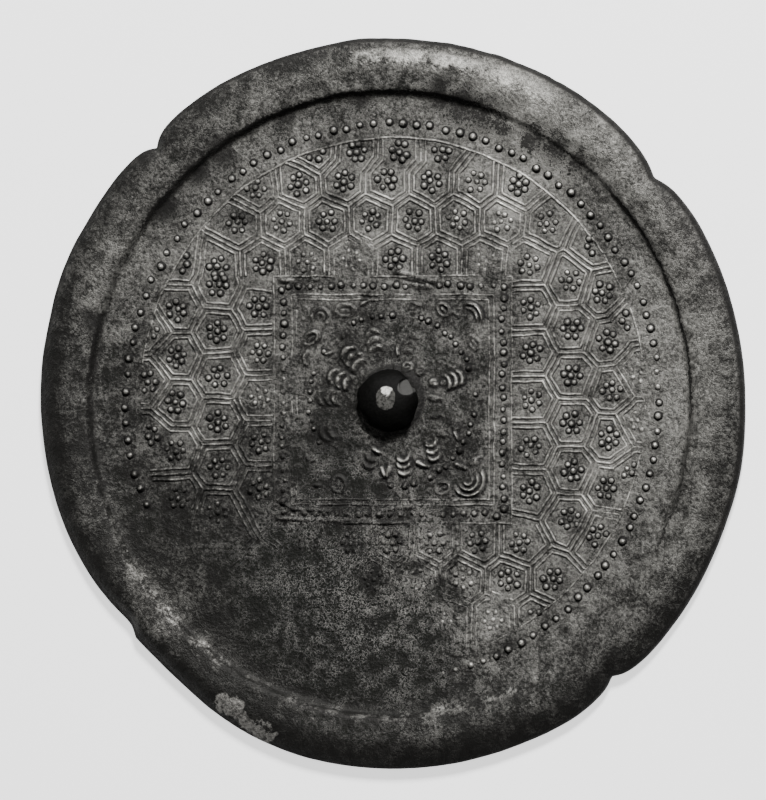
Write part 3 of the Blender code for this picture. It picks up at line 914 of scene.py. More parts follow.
def studs_on(graph, points, wires):
    """One stud on each point, uneven in place and size, lower where it is worn."""
    worn = worn_here(graph)
    jitter = wires["Unevenness"]
    shift = graph.node(
        "FunctionNodeRandomValue",
        {"data_type": "FLOAT_VECTOR"},
        {0: (-1.0, -1.0, 0.0), 1: (1.0, 1.0, 0.0), "Seed": wires["Seed"]},
        0,
    )
    shift = graph.node("ShaderNodeVectorMath", {"operation": "SCALE"}, {0: shift, "Scale": jitter * 0.0004})
    moved = graph.node("GeometryNodeSetPosition", None, {"Geometry": points, "Offset": shift})
    grounded = on_ground(graph, moved, wires["Ground"], worn * wires["Height"])
    growth = graph.node(
        "FunctionNodeRandomValue",
        {"data_type": "FLOAT"},
        {2: -1.0, 3: 1.0, "Seed": wires["Seed"] + 5},
        1,
    )
    spread = 1.0 + growth * jitter * 0.13
    rise = 1.0 + growth * jitter * 0.25
    scale = graph.node("ShaderNodeCombineXYZ", None, {"X": spread, "Y": spread, "Z": rise})
    stud = shape_of(graph, wires["Stud"])
    kept = graph.node("FunctionNodeCompare", {"operation": "LESS_THAN"}, {0: worn, 1: WORN_OFF})
    return graph.node(
        "GeometryNodeInstanceOnPoints",
        None,
        {"Points": grounded, "Instance": stud, "Scale": scale, "Selection": kept},
    )


STUD_SOCKETS = (
    ("Stud", "NodeSocketObject"),
    ("Ground", "NodeSocketObject"),
    ("Spacing", "NodeSocketFloat"),
    ("Height", "NodeSocketFloat"),
    ("Unevenness", "NodeSocketFloat"),
    ("Seed", "NodeSocketInt"),
    ("Material", "NodeSocketMaterial"),
)


def pearl_tree():
    """Studs at even spacing along paths."""
    graph, wires = new_shape_tree("pearls along a path", STUD_SOCKETS)
    curve = graph.node("GeometryNodeMeshToCurve", None, {"Mesh": wires["Geometry"]})
    values = {"Curve": curve, "Length": wires["Spacing"]}
    points = graph.node("GeometryNodeCurveToPoints", {"mode": "LENGTH"}, values)
    return finish_shape_tree(graph, studs_on(graph, points, wires), wires["Material"])


def floret_tree():
    """A dot with a ring of dots round it on every point."""
    sockets = STUD_SOCKETS + (("Ring radius", "NodeSocketFloat"), ("Dots round", "NodeSocketInt"))
    sockets += (("Border radius", "NodeSocketFloat"), ("Panel half", "NodeSocketFloat"))
    graph, wires = new_shape_tree("florets", sockets)
    ring = graph.node(
        "GeometryNodeMeshCircle", None, {"Vertices": wires["Dots round"], "Radius": wires["Ring radius"]}
    )
    middle = graph.node("GeometryNodeMeshLine", None, {"Count": 1})
    pattern = graph.tree.nodes.new("GeometryNodeJoinGeometry")
    for part in (ring, middle):
        graph.tree.links.new(part.socket, pattern.inputs[0])
    turn = graph.node(
        "FunctionNodeRandomValue", {"data_type": "FLOAT"}, {2: 0.0, 3: 6.283, "Seed": wires["Seed"] + 9}, 1
    )
    turned = graph.node("ShaderNodeCombineXYZ", None, {"Z": turn})
    values = {"Points": wires["Geometry"], "Instance": Wire(graph, pattern.outputs[0]), "Rotation": turned}
    florets = graph.node("GeometryNodeInstanceOnPoints", None, values)
    dots = graph.node("GeometryNodeRealizeInstances", None, {"Geometry": florets})
    spot = graph.node("GeometryNodeInputPosition")
    shift = (-ORNAMENT_X * MM, -ORNAMENT_Y * MM, 0.0)
    spot = graph.node("ShaderNodeVectorMath", {"operation": "ADD"}, {0: spot, 1: shift})
    apart = graph.node("ShaderNodeSeparateXYZ", None, {0: spot})
    x, y = apart.out("X"), apart.out("Y")
    out = (x * x + y * y) ** 0.5
    in_panel = graph.node(
        "FunctionNodeCompare",
        {"operation": "LESS_THAN"},
        {0: x.size().at_least(y.size()), 1: wires["Panel half"]},
    )
    past_border = graph.node(
        "FunctionNodeCompare", {"operation": "GREATER_THAN"}, {0: out, 1: wires["Border radius"]}
    )
    either = graph.node("FunctionNodeBooleanMath", {"operation": "OR"}, {0: in_panel, 1: past_border})
    values = {"Geometry": dots, "Selection": either}
    dots = graph.node("GeometryNodeDeleteGeometry", {"domain": "POINT"}, values)
    points = graph.node("GeometryNodeMeshToPoints", None, {"Mesh": dots})
    return finish_shape_tree(graph, studs_on(graph, points, wires), wires["Material"])


def line_tree():
    """A low ridge along every path, sunk where it is worn."""
    sockets = (
        ("Section", "NodeSocketObject"),
        ("Ground", "NodeSocketObject"),
        ("Height", "NodeSocketFloat"),
        ("Grain", "NodeSocketFloat"),
        ("Material", "NodeSocketMaterial"),
    )
    graph, wires = new_shape_tree("raised lines", sockets)
    worn = worn_here(graph)
    noise = graph.node("ShaderNodeTexNoise", None, {"Scale": wires["Grain"], "Detail": 2.0})
    sunk = wires["Height"] * (worn * 1.4 + (noise - 0.47) * 2.4).at_least(0.0).at_most(1.9)
    curve = graph.node("GeometryNodeMeshToCurve", None, {"Mesh": wires["Geometry"]})
    curve = on_ground(graph, curve, wires["Ground"], sunk)
    curve = graph.node("GeometryNodeSetCurveNormal", {"mode": "Z_UP"}, {"Curve": curve})
    profile = graph.node("GeometryNodeMeshToCurve", None, {"Mesh": shape_of(graph, wires["Section"])})
    values = {"Curve": curve, "Profile Curve": profile, "Fill Caps": True}
    ridge = graph.node("GeometryNodeCurveToMesh", None, values)
    shaded = graph.node("GeometryNodeSetShadeSmooth", None, {"Geometry": ridge, "Shade Smooth": True})
    return finish_shape_tree(graph, shaded, wires["Material"])


def grown(host, tree, values, name):
    """The plain mesh that a tree grows on a host, as a new object; the host goes."""
    modifier = host.modifiers.new(tree.name, "NODES")
    modifier.node_group = tree
    for socket in tree.interface.items_tree:
        if socket.in_out == "INPUT" and socket.name in values:
            modifier[socket.identifier] = values[socket.name]
    bpy.context.view_layer.update()
    mesh = bpy.data.meshes.new_from_object(host.evaluated_get(bpy.context.evaluated_depsgraph_get()))
    mesh.name = name
    bpy.data.objects.remove(host)
    return shown(name, mesh)


def line_section():
    """Half-buried section of a raised line, as a closed loop of edges."""
    half = LINE_WIDTH / 2
    one_side = ((0.45, 0.85, 0.0), (0.9, 0.3, 0.12), (1.15, 0.02, 0.24), (1.5, -0.25, 0.17))
    outline = [(-x, y, dirty) for x, y, dirty in reversed(one_side)] + [(0.0, 1.0, 0.0), *one_side]
    # A section's own up points down once it is swept along the ground
    points = [(x * half * MM, -y * LINE_HEIGHT * MM, 0.0) for x, y, _ in outline]
    mesh = bpy.data.meshes.new("line_section")
    mesh.from_pydata(points, [(i, (i + 1) % len(points)) for i in range(len(points))], [])
    shine = np.array([0.66 * max(0.0, y) for _, y, _ in outline], np.float32)
    dirty = np.array([dirty for _, _, dirty in outline], np.float32)
    mesh.attributes.new("relief", "FLOAT", "POINT").data.foreach_set("value", shine)
    mesh.attributes.new("hollow", "FLOAT", "POINT").data.foreach_set("value", dirty)
    made = shown("line_section", mesh)
    made.hide_render = True
    return made


# Knob
def turned(outline, segments, name):
    """A closed solid turned from an outline of distances and heights, top to bottom."""
    piece = bmesh.new()
    rings = []
    for out, height in outline:
        if out == 0.0:
            rings.append([piece.verts.new((0.0, 0.0, height))])
            continue
        ring = []
        for k in range(segments):
            turn = 2 * math.pi * k / segments
            ring.append(piece.verts.new((out * math.cos(turn), out * math.sin(turn), height)))
        rings.append(ring)
    for upper, lower in zip(rings, rings[1:]):
        for k in range(segments):
            m = (k + 1) % segments
            corners = [upper[k % len(upper)], lower[k % len(lower)]]
            corners += [lower[m % len(lower)], upper[m % len(upper)]]
            piece.faces.new(list(dict.fromkeys(corners)))
    bmesh.ops.recalc_face_normals(piece, faces=piece.faces)
    mesh = bpy.data.meshes.new(name)
    piece.to_mesh(mesh)
    piece.free()
    return shown(name, mesh)


def cut(target, tool):
    boolean = target.modifiers.new("cut", "BOOLEAN")
    boolean.operation = "DIFFERENCE"
    boolean.solver = "EXACT"
    boolean.object = tool
    tool.hide_render = True


def knob_object():
    """The pierced cord knob: a dome with its cord hole, a facet over one mouth, a flare at the other."""
    outline = [(0.0, KNOB_HEIGHT)]
    steps = 14
    for k in range(1, steps + 1):
        lean = k / steps * math.pi / 2
        out = KNOB_RADIUS * math.sin(lean) ** 0.96
        outline.append((out, KNOB_HEIGHT * math.cos(lean) ** 0.92 if k < steps else 0.0))
    outline += [(KNOB_RADIUS, -KNOB_SUNK), (0.0, -KNOB_SUNK)]
    knob = turned(outline, 64, "knob")
    way = math.radians(CORD_DIRECTION)
    run = [(0.0, BORE_HALF), (CORD_RADIUS, BORE_HALF), (CORD_RADIUS, -BORE_HALF), (0.0, -BORE_HALF)]
    bore = turned(run, 32, "cord hole")
    bore.data.transform(Matrix.Rotation(math.pi / 2, 4, "Y"))
    bore.data.transform(Matrix.Rotation(way, 4, "Z"))
    bore.data.transform(Matrix.Translation((0.0, 0.0, CORD_LEVEL)))
    run = [(0.0, FACET_CUT), (FACET_RADIUS, FACET_CUT), (FACET_RADIUS, 0.0), (0.0, 0.0)]
    facet = turned(run, 40, "facet")
    facet.data.transform(Matrix.Rotation(math.radians(90.0 - FACET_LEAN), 4, "Y"))
    facet.data.transform(Matrix.Rotation(math.radians(FACET_DIRECTION), 4, "Z"))
    facet.data.transform(Matrix.Translation((*polar(FACET_DIRECTION, FACET_DISTANCE), FACET_LEVEL)))
    ball = bmesh.new()
    bmesh.ops.create_uvsphere(ball, u_segments=32, v_segments=20, radius=1.0)
    mesh = bpy.data.meshes.new("far mouth")
    ball.to_mesh(mesh)
    ball.free()
    mesh.transform(Matrix.Diagonal((FAR_MOUTH_RADIUS, FAR_MOUTH_RADIUS, FAR_MOUTH_RISE, 1.0)))
    mesh.transform(Matrix.Translation((*polar(CORD_DIRECTION, -FAR_MOUTH_DISTANCE), 0.6)))
    tools = [bore, facet, shown("far mouth", mesh)]
    for tool in tools:
        cut(knob, tool)
    remesh = knob.modifiers.new("cast", "REMESH")
    remesh.mode = "VOXEL"
    remesh.voxel_size = KNOB_VOXEL
    remesh.use_smooth_shade = True
    soften = knob.modifiers.new("worn", "SMOOTH")
    soften.factor = 0.5
    soften.iterations = KNOB_SOFTENING
    bpy.context.view_layer.update()
    mesh = bpy.data.meshes.new_from_object(knob.evaluated_get(bpy.context.evaluated_depsgraph_get()))
    for old in [knob] + tools:
        bpy.data.objects.remove(old)
    points = np.empty(len(mesh.vertices) * 3)
    mesh.vertices.foreach_get("co", points)
    points = points.reshape(-1, 3)
    points[:, 2] += 0.05 * swell_grain.layered(points[:, 0] + 90.0, points[:, 1], 3.0) * (points[:, 2] > 0)
    around = np.degrees(np.arctan2(points[:, 1], points[:, 0]))
    lumps = swell_grain.layered(around / 9.0 + 50.0, points[:, 2] + 20.0, 4.0, 2)
    share = np.hypot(points[:, 0], points[:, 1]) / KNOB_RADIUS
    points[:, :2] *= 1.0 + (KNOB_UNEVENNESS / KNOB_RADIUS * lumps * share**2)[:, None]
    points += (KNOB_X, KNOB_Y, FIELD_THICKNESS)
    points *= MM
    mesh.vertices.foreach_set("co", points.ravel())
    mesh.name = "cord_knob"
    return shown("cord_knob", mesh)


# Finishes
def spotted(graph, scale, detail, rough=0.55, seed=0.0):
    """Even random cloud from 0 to 1, scale in spots per metre."""
    place = graph.node("ShaderNodeTexCoord", None, None, "Object")
    shift = (seed, seed * 0.7, seed * 0.3)
    moved = graph.node("ShaderNodeMapping", None, {"Vector": place, "Location": shift})
    values = {"Vector": moved, "Scale": scale, "Detail": detail, "Roughness": rough}
    return graph.node("ShaderNodeTexNoise", None, values)


def near(graph, x, y, reach, soft):
    """1 within reach of a place on the back, easing to 0 past it; millimetres."""
    place = graph.node("ShaderNodeTexCoord", None, None, "Object")
    apart = graph.node("ShaderNodeSeparateXYZ", None, {0: place})
    dx, dy = apart.out("X") * 1000.0 - x, apart.out("Y") * 1000.0 - y
    return ((dx * dx + dy * dy) ** 0.5).ease(reach * (1.0 + soft), reach * (1.0 - soft))


def tone(graph, share, dark, light):
    """A colour between two by a share from 0 to 1."""
    values = {"Factor": share, 6: (*dark, 1.0), 7: (*light, 1.0)}
    return graph.node("ShaderNodeMix", {"data_type": "RGBA"}, values, 2)


def over(graph, share, under, colour):
    """A flat colour laid over another by a share from 0 to 1."""
    values = {"Factor": share, 6: under, 7: (*colour, 1.0)}
    return graph.node("ShaderNodeMix", {"data_type": "RGBA"}, values, 2)


DARK_PATINA = (0.008, 0.0078, 0.0072)
MID_PATINA = (0.19, 0.185, 0.171)
WORN_BRONZE = (0.46, 0.445, 0.41)
DIRT = (0.004, 0.0038, 0.0035)
PALE_CRUST = (0.30, 0.29, 0.27)
PATINA_SHEEN = 0.06
KNOB_SHEEN = 0.04

# Clouds of the patina, and painted shade and light on the rim, made darker at its left and bottom and
# lighter at its top and right: place, reach, change of tone, below zero for darker
STAINS_AND_PAINTED_RIM_SHADING = (
    (-40.0, -47.0, 34.0, -0.32),
    (-6.0, -57.0, 26.0, -0.24),
    (0.0, 0.0, 30.0, -0.2),
    (20.0, -20.0, 13.0, -0.14),
    (-4.0, 76.5, 12.0, -0.08),
    (0.0, 92.0, 22.0, -0.08),
    (-40.0, 82.0, 20.0, -0.08),
    (-14.0, -17.0, 10.0, -0.14),
    (-87.0, 2.0, 22.0, -0.22),
    (-84.0, -30.0, 22.0, -0.22),
    (-64.0, 62.0, 16.0, -0.14),
    (0.0, -90.0, 26.0, -0.3),
    (-45.0, -78.0, 20.0, -0.26),
    (45.0, -80.0, 22.0, -0.18),
    (70.0, -58.0, 20.0, -0.12),
    (-77.0, 4.0, 10.0, -0.08),
    (33.0, 55.0, 6.0, 0.22),
    (43.0, 40.0, 7.0, 0.18),
    (-2.0, 50.0, 10.0, 0.12),
    (56.0, 10.0, 22.0, 0.06),
    (-50.3, -61.7, 3.4, 0.26),
    (-69.0, -43.4, 3.4, 0.18),
    (-46.0, -66.0, 2.4, 0.14),
    (-62.0, -50.0, 9.0, 0.08),
    (-24.0, -57.0, 6.0, 0.14),
    (62.0, 64.0, 10.0, 0.10),
    (86.0, 12.0, 14.0, 0.1),
    (22.0, 86.0, 38.0, 0.08),
    (44.0, 78.0, 18.0, 0.13),
)
# Crisp patches of pale crust: place, reach
CRUSTS = (
    (-44.6, -78.4, 2.6),
    (-42.4, -80.6, 2.4),
    (-38.4, -83.6, 2.3),
    (-35.4, -85.2, 2.2),
    (-32.4, -86.6, 1.4),
)
# Dark dirt lying on the surface: place, reach
BLOTCHES = (
    (14.0, 80.0, 3.6),
    (19.0, 77.5, 4.0),
    (25.0, 75.5, 4.4),
    (30.0, 73.5, 3.4),
    (39.0, 70.0, 3.4),
    (45.0, 67.0, 3.8),
    (51.0, 63.0, 3.0),
    (-8.0, 79.6, 2.4),
    (-28.0, 75.0, 2.4),
    (-45.0, 65.5, 3.2),
    (-52.0, 60.0, 2.6),
    (-62.0, 50.0, 2.6),
    (-80.0, 22.0, 2.4),
)
# Black line in the corner between the field and the rim: place, reach, half width of the line
SEAMS = (
    (-10.0, 81.0, 27.0, 0.6),
    (16.0, 80.0, 8.0, 0.5),
    (-50.0, 64.0, 22.0, 0.75),
    (-81.0, 16.0, 8.0, 0.7),
    (-80.0, -10.0, 14.0, 0.35),
    (69.0, 42.0, 14.0, 0.42),
    (80.0, 18.0, 20.0, 0.42),
    (78.0, -26.0, 14.0, 0.25),
)
SEAM_RADIUS = 81.3


def patina():
    """Dark cast bronze: clouded patina, dirt in the hollows, wear on the relief, pits and pale crust, with
    painted shade and light on the rim and painted highlights on its upper outer slope and its lower inner
    edge.
    """
    material = bpy.data.materials.new("patinated_bronze")
    material.use_nodes = True
    graph = Graph(material.node_tree)
    shader = material.node_tree.nodes["Principled BSDF"]
    cloud = spotted(graph, 45.0, 6.0, 0.6) - 0.5
    mottle = spotted(graph, 210.0, 7.0, 0.68, 3.0) - 0.5
    fine = spotted(graph, 1100.0, 4.0, 0.65, 7.0) - 0.5
    grit = spotted(graph, 3200.0, 2.0, 0.6, 11.0) - 0.5
    hollow = graph.node("ShaderNodeAttribute", {"attribute_name": "hollow"}, None, "Fac")
    relief = graph.node("ShaderNodeAttribute", {"attribute_name": "relief"}, None, "Fac")
    place = graph.node("ShaderNodeTexCoord", None, None, "Object")
    apart = graph.node("ShaderNodeSeparateXYZ", None, {0: place})
    x, y = apart.out("X") * 1000.0, apart.out("Y") * 1000.0
    out = (x * x + y * y) ** 0.5
    ragged_x, ragged_y = x + mottle * 12.0 + fine * 3.0, y + cloud * 8.0 + mottle * 9.0

    def patch(middle_x, middle_y, reach, soft=0.6):
        dx, dy = ragged_x - middle_x, ragged_y - middle_y
        return ((dx * dx + dy * dy) ** 0.5).ease(reach * (1.0 + soft), reach * (1.0 - soft))

    # Patina clouds, with painted shade and light on the rim from the rim's entries
    stains_and_painted_light = cloud * 0.6
    for middle_x, middle_y, reach, change in STAINS_AND_PAINTED_RIM_SHADING:
        stains_and_painted_light = stains_and_painted_light + patch(middle_x, middle_y, reach) * change
    wavy = out + mottle * 6.0 + fine * 3.0
    # Painted highlight: a pale, patchy band on the rim's outer slope at the top, where the slope faces the
    # lamp
    painted_rim_highlight = patch(9.0, 91.0, 17.0, 0.35).at_least(patch(33.0, 85.0, 12.0, 0.5) * 0.5)
    painted_rim_highlight = painted_rim_highlight * wavy.ease(88.8, 90.2) * wavy.ease(93.0, 92.0)
    painted_rim_highlight = painted_rim_highlight * (0.75 + mottle * 3.0).at_least(0.0)
    # Painted highlight: a broken bright line along the rim's inner edge at the lower left and bottom, where
    # the step faces the lamp
    painted_edge_highlight = wavy.ease(80.6, 81.4) * wavy.ease(83.2, 82.2) * (y + x * 0.3 + cloud * 40.0).ease(-50.0, -66.0)
    painted_edge_highlight = painted_edge_highlight * (0.35 + mottle * 4.5 + fine * 3.0).at_least(0.0)
    # Darker towards the rim's outer edge all round, partly a corroded edge and partly painted shade where
    # the outward slope turns from the lamp; the two painted highlights are added here too
    stains_and_painted_light = stains_and_painted_light - wavy.ease(87.0, 92.0) * 0.2 + painted_rim_highlight * 0.66 + painted_edge_highlight * 0.26
    share = 0.365 + stains_and_painted_light + mottle * 1.15 + fine * 1.2 + grit * 0.8
    colour = tone(graph, share.at_least(0.0).at_most(1.0) ** 1.6, DARK_PATINA, MID_PATINA)
    proud = (relief + mottle * 1.2 + fine * 0.8 + stains_and_painted_light * 0.7 - 0.1).ease(0.25, 1.0)
    colour = over(graph, proud * 0.42, colour, WORN_BRONZE)
    blotch, pale = 0.0 * x, 0.0 * x
    for spot in BLOTCHES:
        blotch = blotch.at_least(patch(*spot, 0.7))
    for spot in CRUSTS:
        pale = pale.at_least(patch(*spot, 0.2))
    blotched = (blotch * 1.2 + fine * 5.0 + grit * 3.0 + mottle * 2.0).ease(0.72, 0.9)
    blotch = blotched * blotch.ease(0.0, 0.15)
    # A ragged black line along the corner between the field and the rim
    thick = 0.0 * x
    for middle_x, middle_y, reach, half in SEAMS:
        thick = thick.at_least(patch(middle_x, middle_y, reach, 0.4) * half)
    off_seam = (out + mottle * 4.0 + fine * 3.0 - SEAM_RADIUS).size()
    seam = (thick * (0.9 + mottle * 5.0 + cloud * 3.0) - off_seam).ease(-0.2, 0.15) * thick.ease(0.05, 0.2)
    dirt = (hollow * 3.5 + mottle * 0.8 + fine * 0.6).ease(0.12, 0.8)
    # A ragged black ring on the ground round the knob, reaching further on its right and top
    at_knob = near(graph, KNOB_X + 0.8, KNOB_Y + 0.5, 8.7, 0.12)
    at_knob = (at_knob + fine * 1.6 + mottle * 2.0).ease(0.35, 0.65) * at_knob.ease(0.0, 0.2)
    # Near-black: dirt in the hollows and the blotches, with the black corner line and the ring round the
    # knob
    dirt = dirt.at_least(seam).at_least(blotch).at_least(at_knob)
    colour = over(graph, dirt * 0.96, colour, DIRT)
    corroded = near(graph, -4.0, -46.0, 32.0, 0.7)
    threads = fine.size().ease(0.07, 0.0)
    crust = (threads * 0.9 + fine * 0.4 + grit * 0.6 + mottle * 1.9 - 0.74 + corroded * 0.1).ease(0.0, 0.3)
    crust = crust * (0.15 + corroded * 0.85)
    colour = over(graph, crust * 0.27, colour, PALE_CRUST)
    pale = pale * (0.6 + fine * 2.6 + grit * 1.5).at_least(0.1).at_most(1.0)
    colour = over(graph, pale * 0.5, colour, PALE_CRUST)
    material.node_tree.links.new(colour.socket, shader.inputs["Base Color"])
    rough = 0.46 + fine * 0.4 + dirt * 0.2 - proud * 0.16
    material.node_tree.links.new(rough.socket, shader.inputs["Roughness"])
    metal = (0.5 - crust * 0.4 - dirt * 0.5 + proud * 0.3).at_least(0.0)
    material.node_tree.links.new(metal.socket, shader.inputs["Metallic"])
    shader.inputs["Specular IOR Level"].default_value = PATINA_SHEEN
    values = {"Vector": place, "Scale": 620.0, "Randomness": 1.0}
    pitted = graph.node("ShaderNodeTexVoronoi", {"feature": "F1"}, values)
    pits = pitted.ease(0.05, 0.4) * (mottle + 0.5).ease(0.4, 0.6)
    grain = fine * 0.9 + mottle * 0.4 + pits * 0.3 + grit * 0.4 + crust * 0.12
    bump = graph.node("ShaderNodeBump", None, {"Height": grain, "Strength": 0.55, "Distance": 0.0005})
    material.node_tree.links.new(bump.socket, shader.inputs["Normal"])
    return material


def black_knob():
    """The knob's glossy black skin, rubbed grey on its crown, with a painted highlight on the crown's upper
    side.
    """
    material = bpy.data.materials.new("handled_knob")
    material.use_nodes = True
    graph = Graph(material.node_tree)
    shader = material.node_tree.nodes["Principled BSDF"]
    fine = spotted(graph, 1300.0, 5.0, 0.75, 2.0)
    rubbed = near(graph, KNOB_X + 0.75, KNOB_Y + 1.1, 2.5, 0.1).at_least(
        near(graph, KNOB_X + 0.7, KNOB_Y - 0.1, 2.4, 0.2)
    )
    crown = (rubbed + (fine - 0.5) * 1.2).ease(0.35, 0.75)
    # Painted highlight: a bright spot on the upper side of the rubbed crown, where the lamp falls on it
    top = rubbed * (near(graph, KNOB_X + 0.9, KNOB_Y + 2.9, 1.5, 0.5) + (fine - 0.5) * 1.8).ease(0.3, 0.8)
    # Painted light: the facet over the cord hole is painted a lighter grey, standing in for the light on
    # its flat face
    facet_x, facet_y = polar(FACET_DIRECTION, FACET_DISTANCE - 0.15)
    facet = near(graph, KNOB_X + facet_x, KNOB_Y + facet_y, 2.0, 0.08)
    colour = tone(graph, fine.ease(0.3, 0.8), (0.0007, 0.0007, 0.0006), (0.0025, 0.0024, 0.0022))
    colour = over(graph, facet * (0.75 + fine * 0.25), colour, (0.03, 0.0295, 0.028))
    speckled = ((fine - 0.5) * 5.0 + 0.7).at_least(0.12).at_most(1.0)
    colour = over(graph, crown * speckled, colour, (0.04, 0.039, 0.036))
    # Lays the painted highlight over the crown
    colour = over(graph, top * speckled.at_least(0.5), colour, (0.42, 0.41, 0.385))
    material.node_tree.links.new(colour.socket, shader.inputs["Base Color"])
    rough = 0.5 + fine * 0.2 + crown * 0.1
    material.node_tree.links.new(rough.socket, shader.inputs["Roughness"])
    shader.inputs["Specular IOR Level"].default_value = KNOB_SHEEN
    material.node_tree.links.new((crown * 0.2).socket, shader.inputs["Metallic"])
    bump = graph.node("ShaderNodeBump", None, {"Height": fine, "Strength": 0.5, "Distance": 0.0004})
    material.node_tree.links.new(bump.socket, shader.inputs["Normal"])
    return material


# The mirror's pieces
def dress(piece):
    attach(piece, "root")
    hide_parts("mirror")


bronze = patina()
casting = shown("mirror_casting", casting_mesh())
casting.data.materials.append(bronze)
pearl = stud_template("pearl", PEARL_RADIUS, PEARL_HEIGHT, STUD_SEGMENTS)
frame_pearl = stud_template("frame_pearl", FRAME_PEARL_RADIUS, FRAME_PEARL_HEIGHT, STUD_SEGMENTS)
wreath_pearl = stud_template("wreath_pearl", WREATH_PEARL_RADIUS, WREATH_PEARL_HEIGHT, STUD_SEGMENTS)
dot = stud_template("dot", DOT_RADIUS, DOT_HEIGHT, DOT_SEGMENTS)
section = line_section()
pearls_along = pearl_tree()


def pearls(name, lines, stud, spacing, height, seed, fade=0.0):
    host = path_host(name + "_path", lines, 1.0, fade)
    values = {
        "Stud": stud,
        "Ground": casting,
        "Spacing": spacing * MM,
        "Height": height * MM,
        "Unevenness": 1.0,
        "Seed": seed,
        "Material": bronze,
    }
    return grown(host, pearls_along, values, name)


def ridges(name, lines, height, fade=0.0):
    host = path_host(name + "_path", lines, LINE_STEP, fade)
    values = {
        "Section": section,
        "Ground": casting,
        "Height": height * MM,
        "Grain": LINE_GRAIN,
        "Material": bronze,
    }
    return grown(host, ridge_lines, values, name)


ring_pearls = []
for k, (first, last, spacing) in enumerate(RING_ARCS):
    ring = [arc_line(first, last, RING_RADIUS)]
    ring_pearls.append(pearls(f"ring_pearls_{k}", ring, pearl, spacing, PEARL_HEIGHT, 3 + k, -0.1))
frame_pearls = pearls(
    "frame_pearls", [square_line(FRAME_HALF)], frame_pearl, FRAME_PEARL_SPACING, FRAME_PEARL_HEIGHT, 4
)
wreath_lines = [arc_line(*arc, WREATH_RADIUS) for arc in WREATH_ARCS]
wreath_pearls = pearls(
    "wreath_pearls", wreath_lines, wreath_pearl, WREATH_SPACING, WREATH_PEARL_HEIGHT, 5
)
middles = floret_middles()
values = {
    "Stud": dot,
    "Ground": casting,
    "Height": DOT_HEIGHT * MM,
    "Unevenness": 0.8,
    "Seed": 8,
    "Material": bronze,
    "Ring radius": FLORET_RADIUS * MM,
    "Dots round": DOTS_ROUND,
    "Border radius": (BORDER_RADIUS - 0.6) * MM,
    "Panel half": (FRAME_OUTER_HALF + 0.6) * MM,
}
florets = grown(worn_host("floret_middles", middles, []), floret_tree(), values, "florets")
ridge_lines = line_tree()
shell_lines = ridges("shell_lines", cell_lines(middles), LINE_HEIGHT)
border_lines = [
    ridges(f"border_line_{k}", [arc_line(first, last, BORDER_RADIUS)], LINE_HEIGHT, fade)
    for k, (first, last, fade) in enumerate(BORDER_ARCS)
]
frame_squares = [square_line(FRAME_OUTER_HALF)] + [square_line(half) for half in FRAME_INNER_HALVES]
frame_lines = ridges("frame_lines", frame_squares, LINE_HEIGHT, 0.28)
knob = knob_object()
knob.data.materials.clear()
knob.data.materials.append(black_knob())
for template in (pearl, frame_pearl, wreath_pearl, dot, section):
    bpy.data.objects.remove(template)
for piece in [casting, *ring_pearls, frame_pearls, wreath_pearls, florets]:
    dress(piece)
for piece in [shell_lines, *border_lines, frame_lines, knob]:
    dress(piece)

# Floor, camera and light
FLOOR_HALF = 0.9
FLOOR_TONE = (0.42, 0.42, 0.42)
VIEW_TILT = 15.6
VIEW_DISTANCE = 6.0
VIEW_HEIGHT = 0.2081
SENSOR = 36.0
AIM_LEFT = 2.0
AIM_UP = 1.0
SKY_LIGHT = 0.22
# Lamps: place and size in metres, power in watts
TOP_LAMP = ((0.28, 0.88, 0.86), 0.26, 76.0)
FILL_LAMP = ((0.5, -0.1, 1.3), 0.9, 3.0)
PAPER_GLOW = 1.3

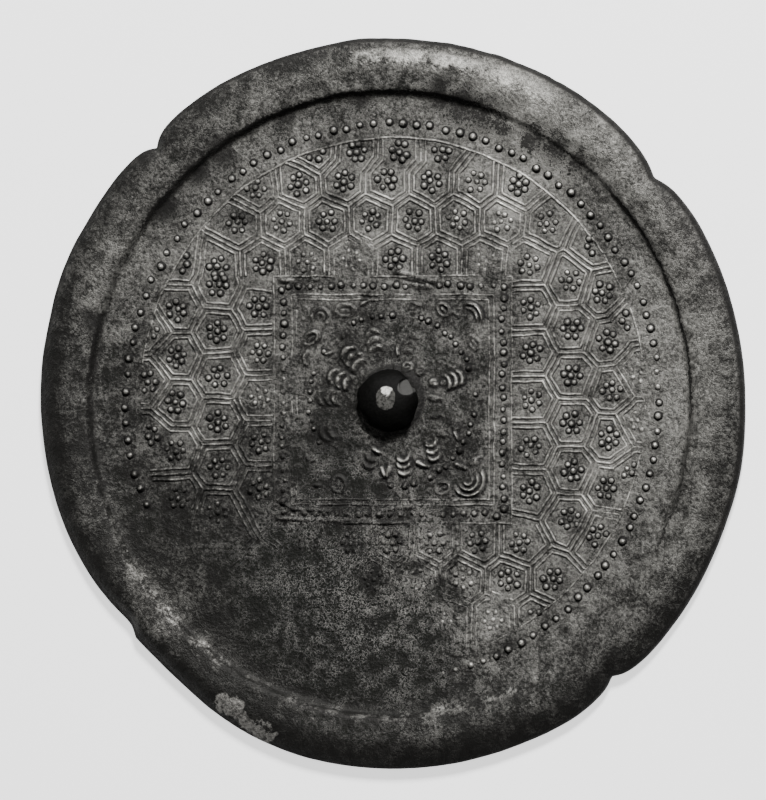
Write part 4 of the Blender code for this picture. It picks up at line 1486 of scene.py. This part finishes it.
floor_mesh = bpy.data.meshes.new("floor")
corners = ((-1, -1), (1, -1), (1, 1), (-1, 1))
floor_mesh.from_pydata([(x * FLOOR_HALF, y * FLOOR_HALF, 0.0) for x, y in corners], [], [(0, 1, 2, 3)])
floor = shown("floor", floor_mesh)
paper = bpy.data.materials.new("pale_paper")
paper.use_nodes = True
graph = Graph(paper.node_tree)
shader = paper.node_tree.nodes["Principled BSDF"]
shader.inputs["Roughness"].default_value = 0.9
shader.inputs["Emission Color"].default_value = (1.0, 1.0, 1.0, 1.0)
shader.inputs["Emission Strength"].default_value = PAPER_GLOW
shade = tone(graph, spotted(graph, 3.0, 2.0), tuple(0.93 * part for part in FLOOR_TONE), FLOOR_TONE)
paper.node_tree.links.new(shade.socket, shader.inputs["Base Color"])
floor_mesh.materials.append(paper)

tilt = math.radians(VIEW_TILT)
back = Vector((math.sin(tilt), 0.0, math.cos(tilt)))
right = Vector((math.cos(tilt), 0.0, -math.sin(tilt)))
up = Vector((0.0, 1.0, 0.0))
aim = Vector((0.0, 0.0, FIELD_THICKNESS * MM)) - right * AIM_LEFT * MM + up * AIM_UP * MM
camera_data = bpy.data.cameras.new("camera")
camera_data.sensor_fit = "VERTICAL"
camera_data.sensor_height = SENSOR
camera_data.lens = SENSOR * VIEW_DISTANCE / VIEW_HEIGHT
camera_data.clip_start = 0.1
camera = bpy.data.objects.new("camera", camera_data)
turn = Matrix((right, up, back)).transposed().to_4x4()
camera.matrix_world = Matrix.Translation(aim + back * VIEW_DISTANCE) @ turn
bpy.context.scene.collection.objects.link(camera)
bpy.context.scene.camera = camera

world = bpy.data.worlds.new("studio")
world.use_nodes = True
world.node_tree.nodes["Background"].inputs["Color"].default_value = (1.0, 1.0, 1.0, 1.0)
world.node_tree.nodes["Background"].inputs["Strength"].default_value = SKY_LIGHT
bpy.context.scene.world = world


def soft_light(name, place, size, power):
    """A square lamp that faces the mirror."""
    lamp_data = bpy.data.lights.new(name, "AREA")
    lamp_data.size = size
    lamp_data.energy = power
    lamp = bpy.data.objects.new(name, lamp_data)
    lamp.location = place
    lamp.rotation_euler = (-Vector(place)).to_track_quat("-Z", "Y").to_euler()
    bpy.context.scene.collection.objects.link(lamp)


soft_light("top lamp", *TOP_LAMP)
soft_light("fill lamp", *FILL_LAMP)

bpy.context.view_layer.update()
